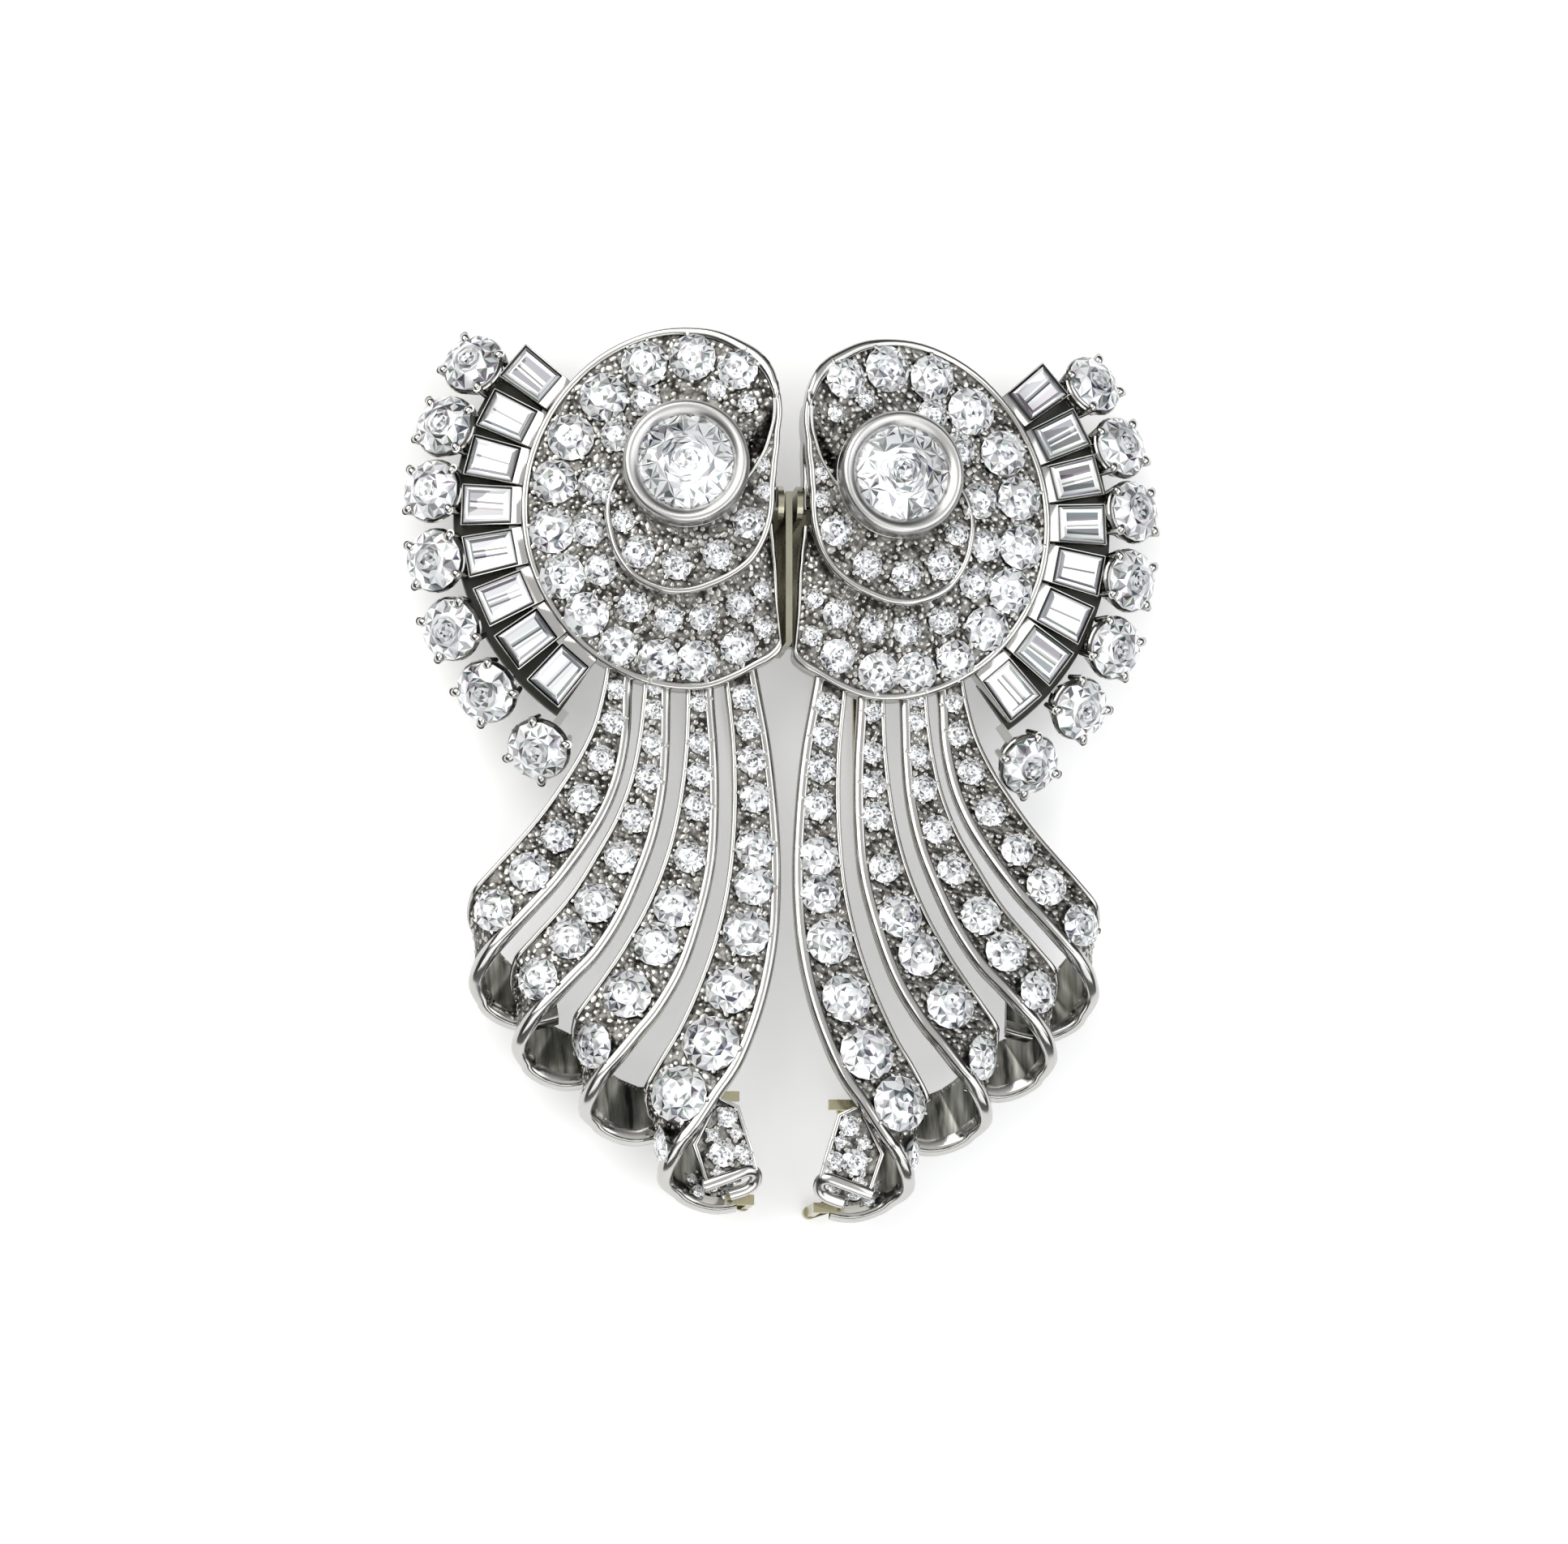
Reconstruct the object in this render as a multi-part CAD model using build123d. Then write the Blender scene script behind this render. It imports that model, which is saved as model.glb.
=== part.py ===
from build123d import *
import math
import os

# Double clip brooch: two mirrored scroll clips side by side on one brooch frame.
# Each clip is a scroll head with a large diamond in a collet, a fan of baguettes
# and claw-set rounds on its outer side, and four ribbons that curl under at their ends.
# X runs to the right, Y toward the heads, Z up out of the jewelled face.
# The origin is under the middle of the brooch, on the plane that it lies on.

os.makedirs("parts", exist_ok=True)

# Whole brooch
RIGHT_CLIP_DROP = 0.5
CLEARANCE = 0.05
SEAT_GAP = 0.1

# Scroll head: the outer turn and the raised inner turn
HEAD_X = -6.0
HEAD_Y = 18.3
HEAD_BORE = 4.0
HEAD_EDGE_WALL = 2.2
HEAD_PLATE = 1.2
RIM_WIDTH = 0.5
RIM_HEIGHT = 0.35
TURN_FOOT = 7.5

# Large diamond and its collet
COLLET_X = -7.56
COLLET_Y = 21.14
COLLET_TOP = 12.2
COLLET_LEAN = 6.5
COLLET_RADIUS = 4.35
COLLET_HEIGHT = 4.7
CENTRE_STONE_RADIUS = 3.5

# Fan of baguettes and claw-set rounds
BOX_LENGTH = 4.25
BOX_WIDTH = 2.78
BOX_TAPER = 0.065
BOX_HEIGHT = 1.9
BOX_WALL = 0.2
BOX_BAR = 0.8
BOX_SLOPE = 12.0
BOX_TOP = 7.0
BAGUETTE_LENGTH = 3.1
BAGUETTE_WIDTH = 2.4
ROUND_RADIUS = 2.1
ROUND_LEAN = 34.0
ROUND_GIRDLE = 5.8
BASKET_HEIGHT = 2.3
CLAW_RADIUS = 0.27
GALLERY_INNER = 13.2
GALLERY_OUTER = 17.05
BAR_START = 16.4
GALLERY_BOTTOM = 4.2
GALLERY_HEIGHT = 0.75

# Ribbons
RIBBON_THICKNESS = 0.75
RIBBON_RIM_WIDTH = 0.4
RIBBON_RIM_HEIGHT = 0.25
CURL_RADIUS = 2.4
CURL_STEPS = (28, 46, 64, 82, 100, 116, 132, 148, 166)
CURL_TAIL = [(0.9, 0.15, 180, 0.97), (2.2, 0.1, 184, 0.9), (3.3, 0.0, 186, 0.8)]
CURL_PITCH = 0.5
PITCH_START = 104
PITCH_SPAN = 60

# Clip fork, brooch frame and pin
FORK_THICKNESS = 0.9
PRONG_WIDTH = 0.9
FRAME_THICKNESS = 1.0
FIN_WIDTH = 0.45
PIN_RADIUS = 0.35
PIN_Y = 18.3
PIN_BLOCK_X = 13.6

# Outer turn: angle about the head, reach to the outer edge, height of the rim, height at the bore
OUTER_TURN = [
    (-4.0, 4.95, 7.9, 8.3),
    (-14.0, 5.15, 7.9, 8.3),
    (-24.0, 5.6, 7.8, 8.3),
    (-31.7, 6.1, 7.8, 8.3),
    (-42.8, 7.2, 7.8, 8.3),
    (-51.0, 8.5, 7.8, 8.3),
    (-56.6, 10.0, 7.8, 8.3),
    (-59.5, 11.0, 7.7, 8.3),
    (-64.0, 11.3, 7.7, 8.3),
    (-70.0, 11.4, 7.6, 8.3),
    (-79.0, 11.8, 7.5, 8.3),
    (-90.0, 12.3, 7.4, 8.3),
    (-105.0, 12.5, 7.3, 8.3),
    (-120.0, 12.55, 7.2, 8.3),
    (-135.0, 12.55, 7.2, 8.3),
    (-150.0, 12.5, 7.2, 8.3),
    (-165.0, 12.5, 7.2, 8.3),
    (-180.0, 12.5, 7.2, 8.3),
    (-195.0, 12.6, 7.2, 8.3),
    (-210.0, 12.75, 7.2, 8.4),
    (-225.0, 12.95, 7.3, 8.5),
    (-240.0, 13.1, 7.8, 8.6),
    (-255.0, 13.05, 8.6, 8.8),
    (-266.0, 12.8, 9.2, 9.0),
    (-274.0, 12.5, 9.8, 9.2),
    (-282.0, 12.0, 10.3, 9.3),
    (-288.5, 11.6, 10.6, 9.3),
    (-294.5, 10.95, 10.9, 9.2),
    (-299.0, 10.2, 11.0, 9.1),
    (-303.0, 9.4, 11.0, 9.0),
    (-312.0, 7.6, 9.2, 8.8),
    (-330.0, 5.8, 8.8, 8.5),
    (-352.0, 5.1, 8.6, 8.4),
]

# Inner turn: angle about the collet, reach, height of the rim, radius where it starts
INNER_TURN = [
    (37.2, 8.4, 11.0, 7.7),
    (20.2, 7.1, 11.0, 6.2),
    (3.3, 6.5, 10.9, 5.1),
    (-13.1, 6.5, 10.8, 4.2),
    (-31.2, 7.2, 10.7, 4.0),
    (-42.0, 7.7, 10.6, 4.0),
    (-53.5, 8.2, 10.6, 4.0),
    (-64.0, 8.45, 10.5, 4.0),
    (-76.0, 8.65, 10.4, 4.0),
    (-87.0, 8.9, 10.3, 4.0),
    (-98.0, 8.95, 10.2, 4.0),
    (-111.5, 8.65, 10.0, 4.0),
    (-119.0, 8.25, 9.9, 4.0),
    (-128.0, 7.65, 9.8, 4.0),
    (-138.0, 6.9, 9.7, 4.0),
    (-149.0, 6.2, 9.6, 4.0),
    (-161.0, 5.4, 9.5, 4.0),
    (-172.5, 4.6, 9.4, 4.0),
]

# Baguettes: angle about the head, radius of the inner end of the box
BAGUETTES = [
    (140.5, 12.8),
    (153.5, 12.55),
    (165.8, 12.45),
    (178.2, 12.4),
    (191.0, 12.4),
    (203.8, 12.4),
    (216.2, 12.45),
    (229.2, 12.5),
]

# Claw-set rounds: angle about the head, radius of the stone's middle
ROUNDS = [
    (146.4, 19.1),
    (161.0, 18.85),
    (175.3, 18.75),
    (190.4, 18.75),
    (205.4, 19.15),
    (220.3, 19.45),
    (236.0, 20.0),
]

# Ribbons from the outer side inward. Straight part: x, y, height of the face, roll, width.
# Curl: x of its axis, y at its top, outermost and lowest lines, height of its top,
# sideways lean per mm, width at the end, rows of the tail that it has.
RIBBONS = [
    dict(
        straight=[
            (-11.40, 8.20, 6.1, 0, 2.0),
            (-11.70, 6.00, 6.2, 0, 2.1),
            (-12.12, 3.17, 6.5, 2, 2.7),
            (-12.95, 0.54, 6.8, 5, 3.4),
            (-14.09, -1.81, 7.2, 8, 3.9),
            (-15.54, -4.07, 7.6, 12, 4.1),
            (-17.28, -6.32, 8.0, 16, 4.3),
            (-18.75, -7.95, 8.1, 22, 4.35),
        ],
        curl=(-18.96, -8.15, -12.2, -15.5, 8.20, 0.0, 4.4, 3),
    ),
    dict(
        straight=[
            (-8.90, 7.60, 6.2, 0, 1.9),
            (-9.00, 5.20, 6.3, 0, 2.0),
            (-9.21, 2.19, 6.5, 1, 2.3),
            (-9.63, -0.74, 6.7, 3, 2.7),
            (-10.47, -3.68, 7.0, 6, 3.2),
            (-11.71, -6.44, 7.4, 9, 3.7),
            (-13.16, -9.20, 7.8, 12, 4.1),
            (-14.69, -11.34, 8.1, 16, 4.4),
            (-15.95, -12.7, 8.15, 22, 4.4),
        ],
        curl=(-16.02, -12.77, -16.7, -19.6, 8.30, 0.0, 4.4, 3),
    ),
    dict(
        straight=[
            (-6.00, 7.60, 6.3, 0, 1.9),
            (-5.95, 5.20, 6.4, 0, 2.0),
            (-5.91, 1.59, 6.6, 1, 2.4),
            (-6.13, -2.14, 6.8, 3, 2.9),
            (-6.67, -5.78, 7.1, 5, 3.5),
            (-7.71, -9.24, 7.5, 8, 4.0),
            (-9.16, -12.60, 7.9, 12, 4.6),
            (-10.69, -15.14, 8.2, 16, 4.8),
            (-11.85, -16.65, 8.25, 22, 4.75),
        ],
        curl=(-11.93, -16.78, -20.9, -23.3, 8.40, 0.1, 4.6, 3),
    ),
    dict(
        straight=[
            (-3.30, 8.30, 6.4, 0, 2.3),
            (-2.90, 5.60, 6.5, 0, 2.5),
            (-2.41, 1.99, 6.6, 0, 2.8),
            (-2.17, -2.33, 6.8, 1, 3.2),
            (-2.25, -6.76, 7.0, 3, 3.7),
            (-2.79, -11.01, 7.4, 6, 4.3),
            (-3.84, -14.97, 7.8, 10, 4.8),
            (-5.38, -18.72, 8.2, 15, 5.1),
            (-6.75, -20.9, 8.3, 21, 5.05),
        ],
        curl=(-7.13, -21.68, -25.6, -27.9, 8.40, 0.25, 4.7, 1),
    ),
]

# Stones: x, y, diameter
OUTER_TURN_STONES = [
    (-12.8, 26.3, 2.9),
    (-10.0, 28.5, 2.8),
    (-6.7, 28.9, 2.8),
    (-3.7, 28.0, 2.5),
    (-15.1, 23.4, 2.9),
    (-16.2, 20.3, 2.8),
    (-16.3, 16.9, 2.8),
    (-15.5, 13.8, 2.7),
    (-13.8, 11.2, 2.7),
    (-11.6, 9.1, 2.3),
    (-9.0, 8.0, 2.4),
    (-6.3, 7.9, 2.4),
    (-3.5, 8.9, 2.2),
    (-10.0, 25.95, 1.7),
    (-11.9, 23.5, 2.0),
    (-13.55, 20.0, 2.0),
    (-13.8, 16.9, 2.1),
    (-13.0, 14.2, 2.0),
    (-10.8, 11.6, 1.9),
    (-8.3, 10.8, 1.85),
    (-5.9, 10.9, 1.8),
    (-3.4, 11.8, 1.8),
    (-1.95, 12.9, 1.2),
    (-1.7, 10.3, 1.3),
]
INNER_TURN_STONES = [
    (-11.5, 17.4, 1.3),
    (-10.6, 15.1, 1.9),
    (-7.9, 14.2, 1.8),
    (-5.2, 14.9, 1.9),
    (-3.0, 17.2, 1.9),
]
RIBBON_STONES = [
    [
        (-12.0, 3.6, 1.6),
        (-12.9, 1.0, 1.7),
        (-14.2, -1.9, 1.95),
        (-15.8, -4.3, 2.1),
        (-17.7, -6.9, 2.3),
        (-20.1, -9.6, 2.5),
    ],
    [
        (-9.1, 4.5, 1.1),
        (-9.2, 2.3, 1.3),
        (-9.6, -0.4, 1.6),
        (-10.5, -3.2, 1.8),
        (-11.6, -6.0, 2.0),
        (-13.2, -8.9, 2.5),
        (-15.1, -11.7, 2.6),
        (-17.2, -14.4, 2.6),
    ],
    [
        (-6.0, 5.0, 1.1),
        (-6.0, 2.6, 1.4),
        (-6.0, 0.3, 1.6),
        (-6.2, -2.5, 1.8),
        (-6.7, -5.6, 1.95),
        (-7.7, -9.0, 2.7),
        (-9.2, -12.1, 2.8),
        (-11.1, -15.4, 3.0),
        (-13.2, -18.8, 2.8),
    ],
    [
        (-2.9, 5.9, 1.5),
        (-2.6, 3.7, 1.6),
        (-2.4, 1.1, 1.8),
        (-2.2, -1.6, 1.9),
        (-2.2, -4.6, 2.4),
        (-2.3, -7.8, 2.5),
        (-2.9, -11.2, 2.9),
        (-4.0, -15.0, 3.1),
        (-5.4, -18.9, 3.4),
        (-7.6, -22.4, 3.3),
        (-8.9, -26.0, 2.2),
    ],
]

# End leaf that the innermost ribbon folds back into: corners and stones
LEAF_CORNERS = [
    (-6.6, -25.6),
    (-4.9, -22.2),
    (-3.4, -22.9),
    (-2.5, -25.8),
    (-2.1, -27.3),
    (-5.6, -28.4),
]
LEAF_BOTTOM = 7.4
LEAF_THICKNESS = 0.8
LEAF_ROLL_RADIUS = 0.5
LEAF_STONES = [(-4.5, -26.4, 1.4), (-3.1, -26.0, 1.0), (-4.0, -24.2, 1.2)]

# Clip fork: plate, middle lines of its two flat prongs, and the posts it hangs from.
# Tabs on the inner prong: y where the foot starts, x and y of the upright, x of the arm's end,
# height of its top.
FORK_PLATE = [(-10.5, 9.3), (-2.3, 9.3), (-2.3, 16.2), (-10.5, 16.2)]
OUTER_PRONG = [(-5.8, 10.0), (-5.9, 1.6), (-6.1, -2.1), (-6.6, -5.7), (-7.6, -9.1), (-9.0, -12.4)]
INNER_PRONG = [(-3.2, 10.0), (-2.9, 5.6), (-2.4, 2.0), (-2.15, -2.3), (-2.2, -6.7), (-2.7, -10.9),
               (-3.7, -14.8), (-5.2, -18.5), (-6.5, -22.2), (-6.4, -27.8)]
FORK_TABS = [
    (-22.0, -4.7, -22.0, -3.1, 5.4),
    (-27.8, -2.3, -29.1, -4.1, 5.2),
]
TAB_WIDTH = 0.7
TAB_THICKNESS = 0.5
FORK_POSTS = [(-9.4, 13.6), (-5.6, 10.7)]
POST_RADIUS = 1.1


def polar(x, y, angle, radius, z):
    turn = math.radians(angle)
    return Vector(x + radius * math.cos(turn), y + radius * math.sin(turn), z)


def loft_through(sections):
    wires = [Wire.make_polygon(points, close=True) for points in sections]
    return Solid.make_loft(wires, ruled=True)


# Scroll head

def turn_section(x, y, angle, reach, rim, inner_radius, inner_height, feet, slant):
    """One radial cut through a turn: a sloping face with a rim along its outer edge."""
    width = RIM_WIDTH * slant
    outer_foot, inner_foot = feet
    face = rim - RIM_HEIGHT
    profile = [
        (inner_radius, inner_foot),
        (reach, outer_foot),
        (reach, rim),
        (reach - width, rim),
        (reach - width, face),
        (inner_radius, inner_height),
    ]
    return [polar(x, y, angle, radius, z) for radius, z in profile]


def edge_slants(rows):
    """How much wider a rim is along each radius than square to the edge."""
    slants = []
    for index, row in enumerate(rows):
        before = rows[max(index - 1, 0)]
        after = rows[min(index + 1, len(rows) - 1)]
        swing = math.radians(abs(after[0] - before[0])) * row[1]
        slants.append(min(math.hypot(swing, after[1] - before[1]) / swing, 1.6))
    return slants


def outer_turn():
    sections = []
    for row, slant in zip(OUTER_TURN, edge_slants(OUTER_TURN)):
        angle, reach, rim, bore_height = row
        feet = (rim - HEAD_EDGE_WALL, bore_height - HEAD_PLATE)
        sections.append(
            turn_section(HEAD_X, HEAD_Y, angle, reach, rim, HEAD_BORE, bore_height, feet, slant)
        )
    return loft_through(sections)


def inner_turn():
    sections = []
    for row, slant in zip(INNER_TURN, edge_slants(INNER_TURN)):
        angle, reach, rim, start = row
        sections.append(
            turn_section(
                COLLET_X, COLLET_Y, angle, reach, rim, start, rim - RIM_HEIGHT,
                (TURN_FOOT, TURN_FOOT), slant
            )
        )
    return loft_through(sections)


def collet_place():
    return Pos(COLLET_X, COLLET_Y, COLLET_TOP) * Rot(0, -COLLET_LEAN, 0)


def collet():
    """Rub-over collet with a rounded lip, open below for the stone's point."""
    profile = [
        (COLLET_RADIUS - 0.1, -COLLET_HEIGHT),
        (COLLET_RADIUS, -0.6),
        (COLLET_RADIUS - 0.1, -0.2),
        (COLLET_RADIUS - 0.4, 0),
        (COLLET_RADIUS - 0.7, -0.1),
        (CENTRE_STONE_RADIUS - 0.15, -0.5),
        (CENTRE_STONE_RADIUS + 0.07, -0.62),
        (CENTRE_STONE_RADIUS + 0.07, -0.95),
        (CENTRE_STONE_RADIUS - 0.2, -1.15),
        (0.9, -3.7),
        (0.9, -COLLET_HEIGHT),
    ]
    outline = make_face(Polyline([(radius, 0, height) for radius, height in profile], close=True))
    return collet_place() * revolve(outline, Axis.Z)


# Stones

def ring(radius, height, sides, phase=0.0):
    points = []
    for index in range(sides):
        turn = 2 * math.pi * (index + phase) / sides
        points.append(Vector(radius * math.cos(turn), radius * math.sin(turn), height))
    return points


def brilliant(radius, sides):
    """Round stone with its girdle at height 0: table, crown, thin girdle and full pavilion."""
    return loft_through([
        ring(0.06 * radius, -0.84 * radius, sides),
        ring(radius, -0.02 * radius, sides),
        ring(radius, 0.02 * radius, sides),
        ring(0.56 * radius, 0.31 * radius, sides),
    ])


def pave_stone(radius):
    """Small stone shown from its seat up: short pavilion, crown and table."""
    return loft_through([
        ring(0.72 * radius, 0, 8),
        ring(radius, 0.2 * radius, 8),
        ring(0.58 * radius, 0.52 * radius, 8),
    ])


def wedge(length, width, height):
    """Outline of a box or baguette, a little narrower at the head's end."""
    near = 0.5 * width * (1 - BOX_TAPER)
    far = 0.5 * width * (1 + BOX_TAPER)
    corners = [(-1, -near), (1, -far), (1, far), (-1, near)]
    return [Vector(0.5 * length * end, side, height) for end, side in corners]


def baguette_stone():
    """Step cut: two rows of steps in the crown and two below the girdle."""
    length = BAGUETTE_LENGTH
    width = BAGUETTE_WIDTH
    return loft_through([
        wedge(0.6 * length, 0.2 * width, -1.1),
        wedge(0.85 * length, 0.65 * width, -0.65),
        wedge(length, width, -0.05),
        wedge(length, width, 0.05),
        wedge(0.9 * length, 0.84 * width, 0.22),
        wedge(0.76 * length, 0.62 * width, 0.33),
    ])


# Fan of baguettes and rounds

def box_place(angle, inner_end):
    """Middle of a box's top, with X pointing outward along the slope."""
    middle = polar(HEAD_X, HEAD_Y, angle, inner_end + 0.5 * BOX_LENGTH, BOX_TOP - 0.45)
    return Pos(*middle) * Rot(0, 0, angle) * Rot(0, BOX_SLOPE, 0)


def stone_shift():
    return Pos(0.5 * (BOX_BAR - BOX_WALL), 0, 0)


def baguette_box(angle, inner_end):
    block = loft_through([wedge(BOX_LENGTH, BOX_WIDTH, -BOX_HEIGHT), wedge(BOX_LENGTH, BOX_WIDTH, 0)])
    length = BAGUETTE_LENGTH + 2 * CLEARANCE
    width = BAGUETTE_WIDTH + 2 * CLEARANCE
    opening = loft_through([wedge(length, width, -2 * BOX_HEIGHT), wedge(length, width, 1)])
    return box_place(angle, inner_end) * (block - stone_shift() * opening)


def baguette(angle, inner_end):
    return box_place(angle, inner_end) * stone_shift() * Pos(0, 0, -0.1) * baguette_stone()


def round_place(angle, radius):
    """Girdle plane of a claw-set stone, leaning outward with X pointing out."""
    middle = polar(HEAD_X, HEAD_Y, angle, radius, ROUND_GIRDLE)
    return Pos(*middle) * Rot(0, 0, angle) * Rot(0, ROUND_LEAN, 0)


def basket(angle, radius):
    """Tapering cup below the girdle with four claws over the stone's edge."""
    outline = [
        (1.0, -BASKET_HEIGHT),
        (1.35, -BASKET_HEIGHT),
        (ROUND_RADIUS + 0.15, -0.5),
        (ROUND_RADIUS - 0.35, -0.5),
    ]
    face = make_face(Polyline([(r, 0, z) for r, z in outline], close=True))
    cup = revolve(face, Axis.Z)
    reach = ROUND_RADIUS + CLAW_RADIUS + CLEARANCE
    for turn in (40, 140, 220, 320):
        spot = polar(0, 0, turn, reach, 0)
        claw = Pos(spot.X, spot.Y, -0.4) * Cylinder(CLAW_RADIUS, 1.3)
        tip = Pos(spot.X, spot.Y, 0.28) * Sphere(CLAW_RADIUS + 0.05)
        cup = cup + claw + tip
    return round_place(angle, radius) * cup


def gallery():
    """Low plate behind the boxes, with a short bar out to each basket."""
    near = [polar(HEAD_X, HEAD_Y, angle, GALLERY_INNER, 0) for angle in range(136, 242, 6)]
    far = [polar(HEAD_X, HEAD_Y, angle, GALLERY_OUTER, 0) for angle in range(238, 132, -6)]
    face = make_face(Polyline(near + far, close=True))
    plate = Pos(0, 0, GALLERY_BOTTOM) * extrude(face, amount=GALLERY_HEIGHT, dir=(0, 0, 1))
    for angle, radius in ROUNDS:
        length = radius - 1.7 - BAR_START
        middle = polar(HEAD_X, HEAD_Y, angle, BAR_START + 0.5 * length, GALLERY_BOTTOM + 0.5 * GALLERY_HEIGHT)
        plate = plate + Pos(*middle) * Rot(0, 0, angle) * Box(length, 0.6, GALLERY_HEIGHT)
    return plate


# Ribbons

def ribbon_rows(ribbon):
    """All rows of a ribbon: the straight part, then the curl about its axis."""
    rows = list(ribbon["straight"])
    axis_x, top_y, side_y, low_y, face_height, lean, end_width, tail_rows = ribbon["curl"]
    start_width = rows[-1][4]
    for roll in CURL_STEPS:
        if roll <= 90:
            y = top_y + (side_y - top_y) * roll / 90
        else:
            y = side_y + (low_y - side_y) * (roll - 90) / 90
        turn = math.radians(roll)
        x = axis_x - CURL_RADIUS * math.sin(turn) - lean * (y - top_y)
        z = face_height - CURL_RADIUS * (1 - math.cos(turn))
        width = start_width + (end_width - start_width) * roll / CURL_STEPS[-1]
        rows.append((x, y, z, roll, width))
    for run, drop, roll, share in CURL_TAIL[:tail_rows]:
        x = axis_x + run - lean * (low_y - top_y)
        rows.append((x, low_y - drop, face_height - 2 * CURL_RADIUS, roll, share * end_width))
    return rows


def curl_pitch(roll):
    """How far the sheet's inner edge is lifted, which grows through the curl."""
    share = max(0.0, min(1.0, (roll - PITCH_START) / PITCH_SPAN))
    return CURL_PITCH * share * share * (3 - 2 * share)


def ribbon_frames(ribbon):
    """Middle point, direction across, face normal and width at every row."""
    rows = ribbon_rows(ribbon)
    points = [Vector(row[0], row[1], row[2]) for row in rows]
    frames = []
    for index, row in enumerate(rows):
        ahead = points[min(index + 1, len(rows) - 1)]
        behind = points[max(index - 1, 0)]
        along = (ahead - behind).normalized()
        roll = math.radians(row[3])
        lift = Vector(-math.sin(roll), -curl_pitch(row[3]), math.cos(roll))
        normal = (lift - along * lift.dot(along)).normalized()
        across = normal.cross(along)
        frames.append((points[index], across, normal, row[4]))
    return frames


def ribbon_section(frame):
    middle, across, normal, width = frame
    half = 0.5 * width
    inside = half - RIBBON_RIM_WIDTH
    rim = RIBBON_RIM_HEIGHT
    profile = [
        (-half, -RIBBON_THICKNESS),
        (half, -RIBBON_THICKNESS),
        (half, rim),
        (inside, rim),
        (inside, 0),
        (-inside, 0),
        (-inside, rim),
        (-half, rim),
    ]
    return [middle + across * side + normal * height for side, height in profile]


def ribbon_body(ribbon):
    return loft_through([ribbon_section(frame) for frame in ribbon_frames(ribbon)])


def leaf():
    """Small stone-set leaf at the end of the innermost ribbon, rolled under at its lower edge."""
    face = make_face(Polyline([(x, y, 0) for x, y in LEAF_CORNERS], close=True))
    plate = Pos(0, 0, LEAF_BOTTOM) * extrude(face, amount=LEAF_THICKNESS, dir=(0, 0, 1))
    left = LEAF_CORNERS[-1]
    right = LEAF_CORNERS[-2]
    length = math.hypot(right[0] - left[0], right[1] - left[1])
    swing = math.degrees(math.atan2(right[1] - left[1], right[0] - left[0]))
    middle = Pos(0.5 * (left[0] + right[0]), 0.5 * (left[1] + right[1]), LEAF_BOTTOM + 0.3)
    roll = middle * Rot(0, 0, swing) * Rot(0, 90, 0) * Cylinder(LEAF_ROLL_RADIUS, length)
    stem = Pos(-4.9, -27.5, 5.6) * Box(1.1, 1.0, 4.2)
    return plate + roll + stem


# Seats of the small stones

def seat_lift(diameter):
    """Extra height where a ribbon bends under a wide stone."""
    return SEAT_GAP + 0.03 * diameter


def tilt_to(normal):
    """Rotation that turns the Z axis onto a normal."""
    lean = math.degrees(math.acos(max(-1.0, min(1.0, normal.Z))))
    swing = math.degrees(math.atan2(normal.Y, normal.X))
    return Rot(0, 0, swing) * Rot(0, lean, 0) * Rot(0, 0, -swing)


def between(rows, angle, column):
    """Value of a column at an angle, in a table whose angles run downward."""
    for first, second in zip(rows, rows[1:]):
        if second[0] <= angle <= first[0]:
            share = (first[0] - angle) / (first[0] - second[0])
            return first[column] + share * (second[column] - first[column])
    return rows[-1][column]


def outer_turn_height(x, y):
    angle = math.degrees(math.atan2(y - HEAD_Y, x - HEAD_X))
    if angle > OUTER_TURN[0][0]:
        angle -= 360
    radius = math.hypot(x - HEAD_X, y - HEAD_Y)
    reach = between(OUTER_TURN, angle, 1) - RIM_WIDTH
    edge = between(OUTER_TURN, angle, 2) - RIM_HEIGHT
    core = between(OUTER_TURN, angle, 3)
    return core + (edge - core) * (radius - HEAD_BORE) / (reach - HEAD_BORE)


def inner_turn_height(x, y):
    angle = math.degrees(math.atan2(y - COLLET_Y, x - COLLET_X))
    return between(INNER_TURN, angle, 2) - RIM_HEIGHT


def seat(height, x, y):
    """Place on a height map, square to its slope."""
    step = 0.4
    slope_x = (height(x + step, y) - height(x - step, y)) / (2 * step)
    slope_y = (height(x, y + step) - height(x, y - step)) / (2 * step)
    normal = Vector(-slope_x, -slope_y, 1).normalized()
    return Pos(*(Vector(x, y, height(x, y)) + normal * SEAT_GAP)) * tilt_to(normal)


def ribbon_seat(frames, x, y, lift):
    """Place on the middle line of a ribbon's face, square across from x, y."""
    best = None
    for first, second in zip(frames, frames[1:]):
        for step in range(20):
            share = step / 20
            middle = first[0] * (1 - share) + second[0] * share
            normal = (first[2] * (1 - share) + second[2] * share).normalized()
            miss = math.hypot(middle.X - x, middle.Y - y)
            if normal.Z > 0.25 and (best is None or miss < best[0]):
                best = (miss, middle, normal)
    return Pos(*(best[1] + best[2] * lift)) * tilt_to(best[2])


def head_pave():
    stones = []
    for x, y, diameter in OUTER_TURN_STONES:
        stones.append(seat(outer_turn_height, x, y) * pave_stone(0.5 * diameter))
    for x, y, diameter in INNER_TURN_STONES:
        stones.append(seat(inner_turn_height, x, y) * pave_stone(0.5 * diameter))
    return stones


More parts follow.
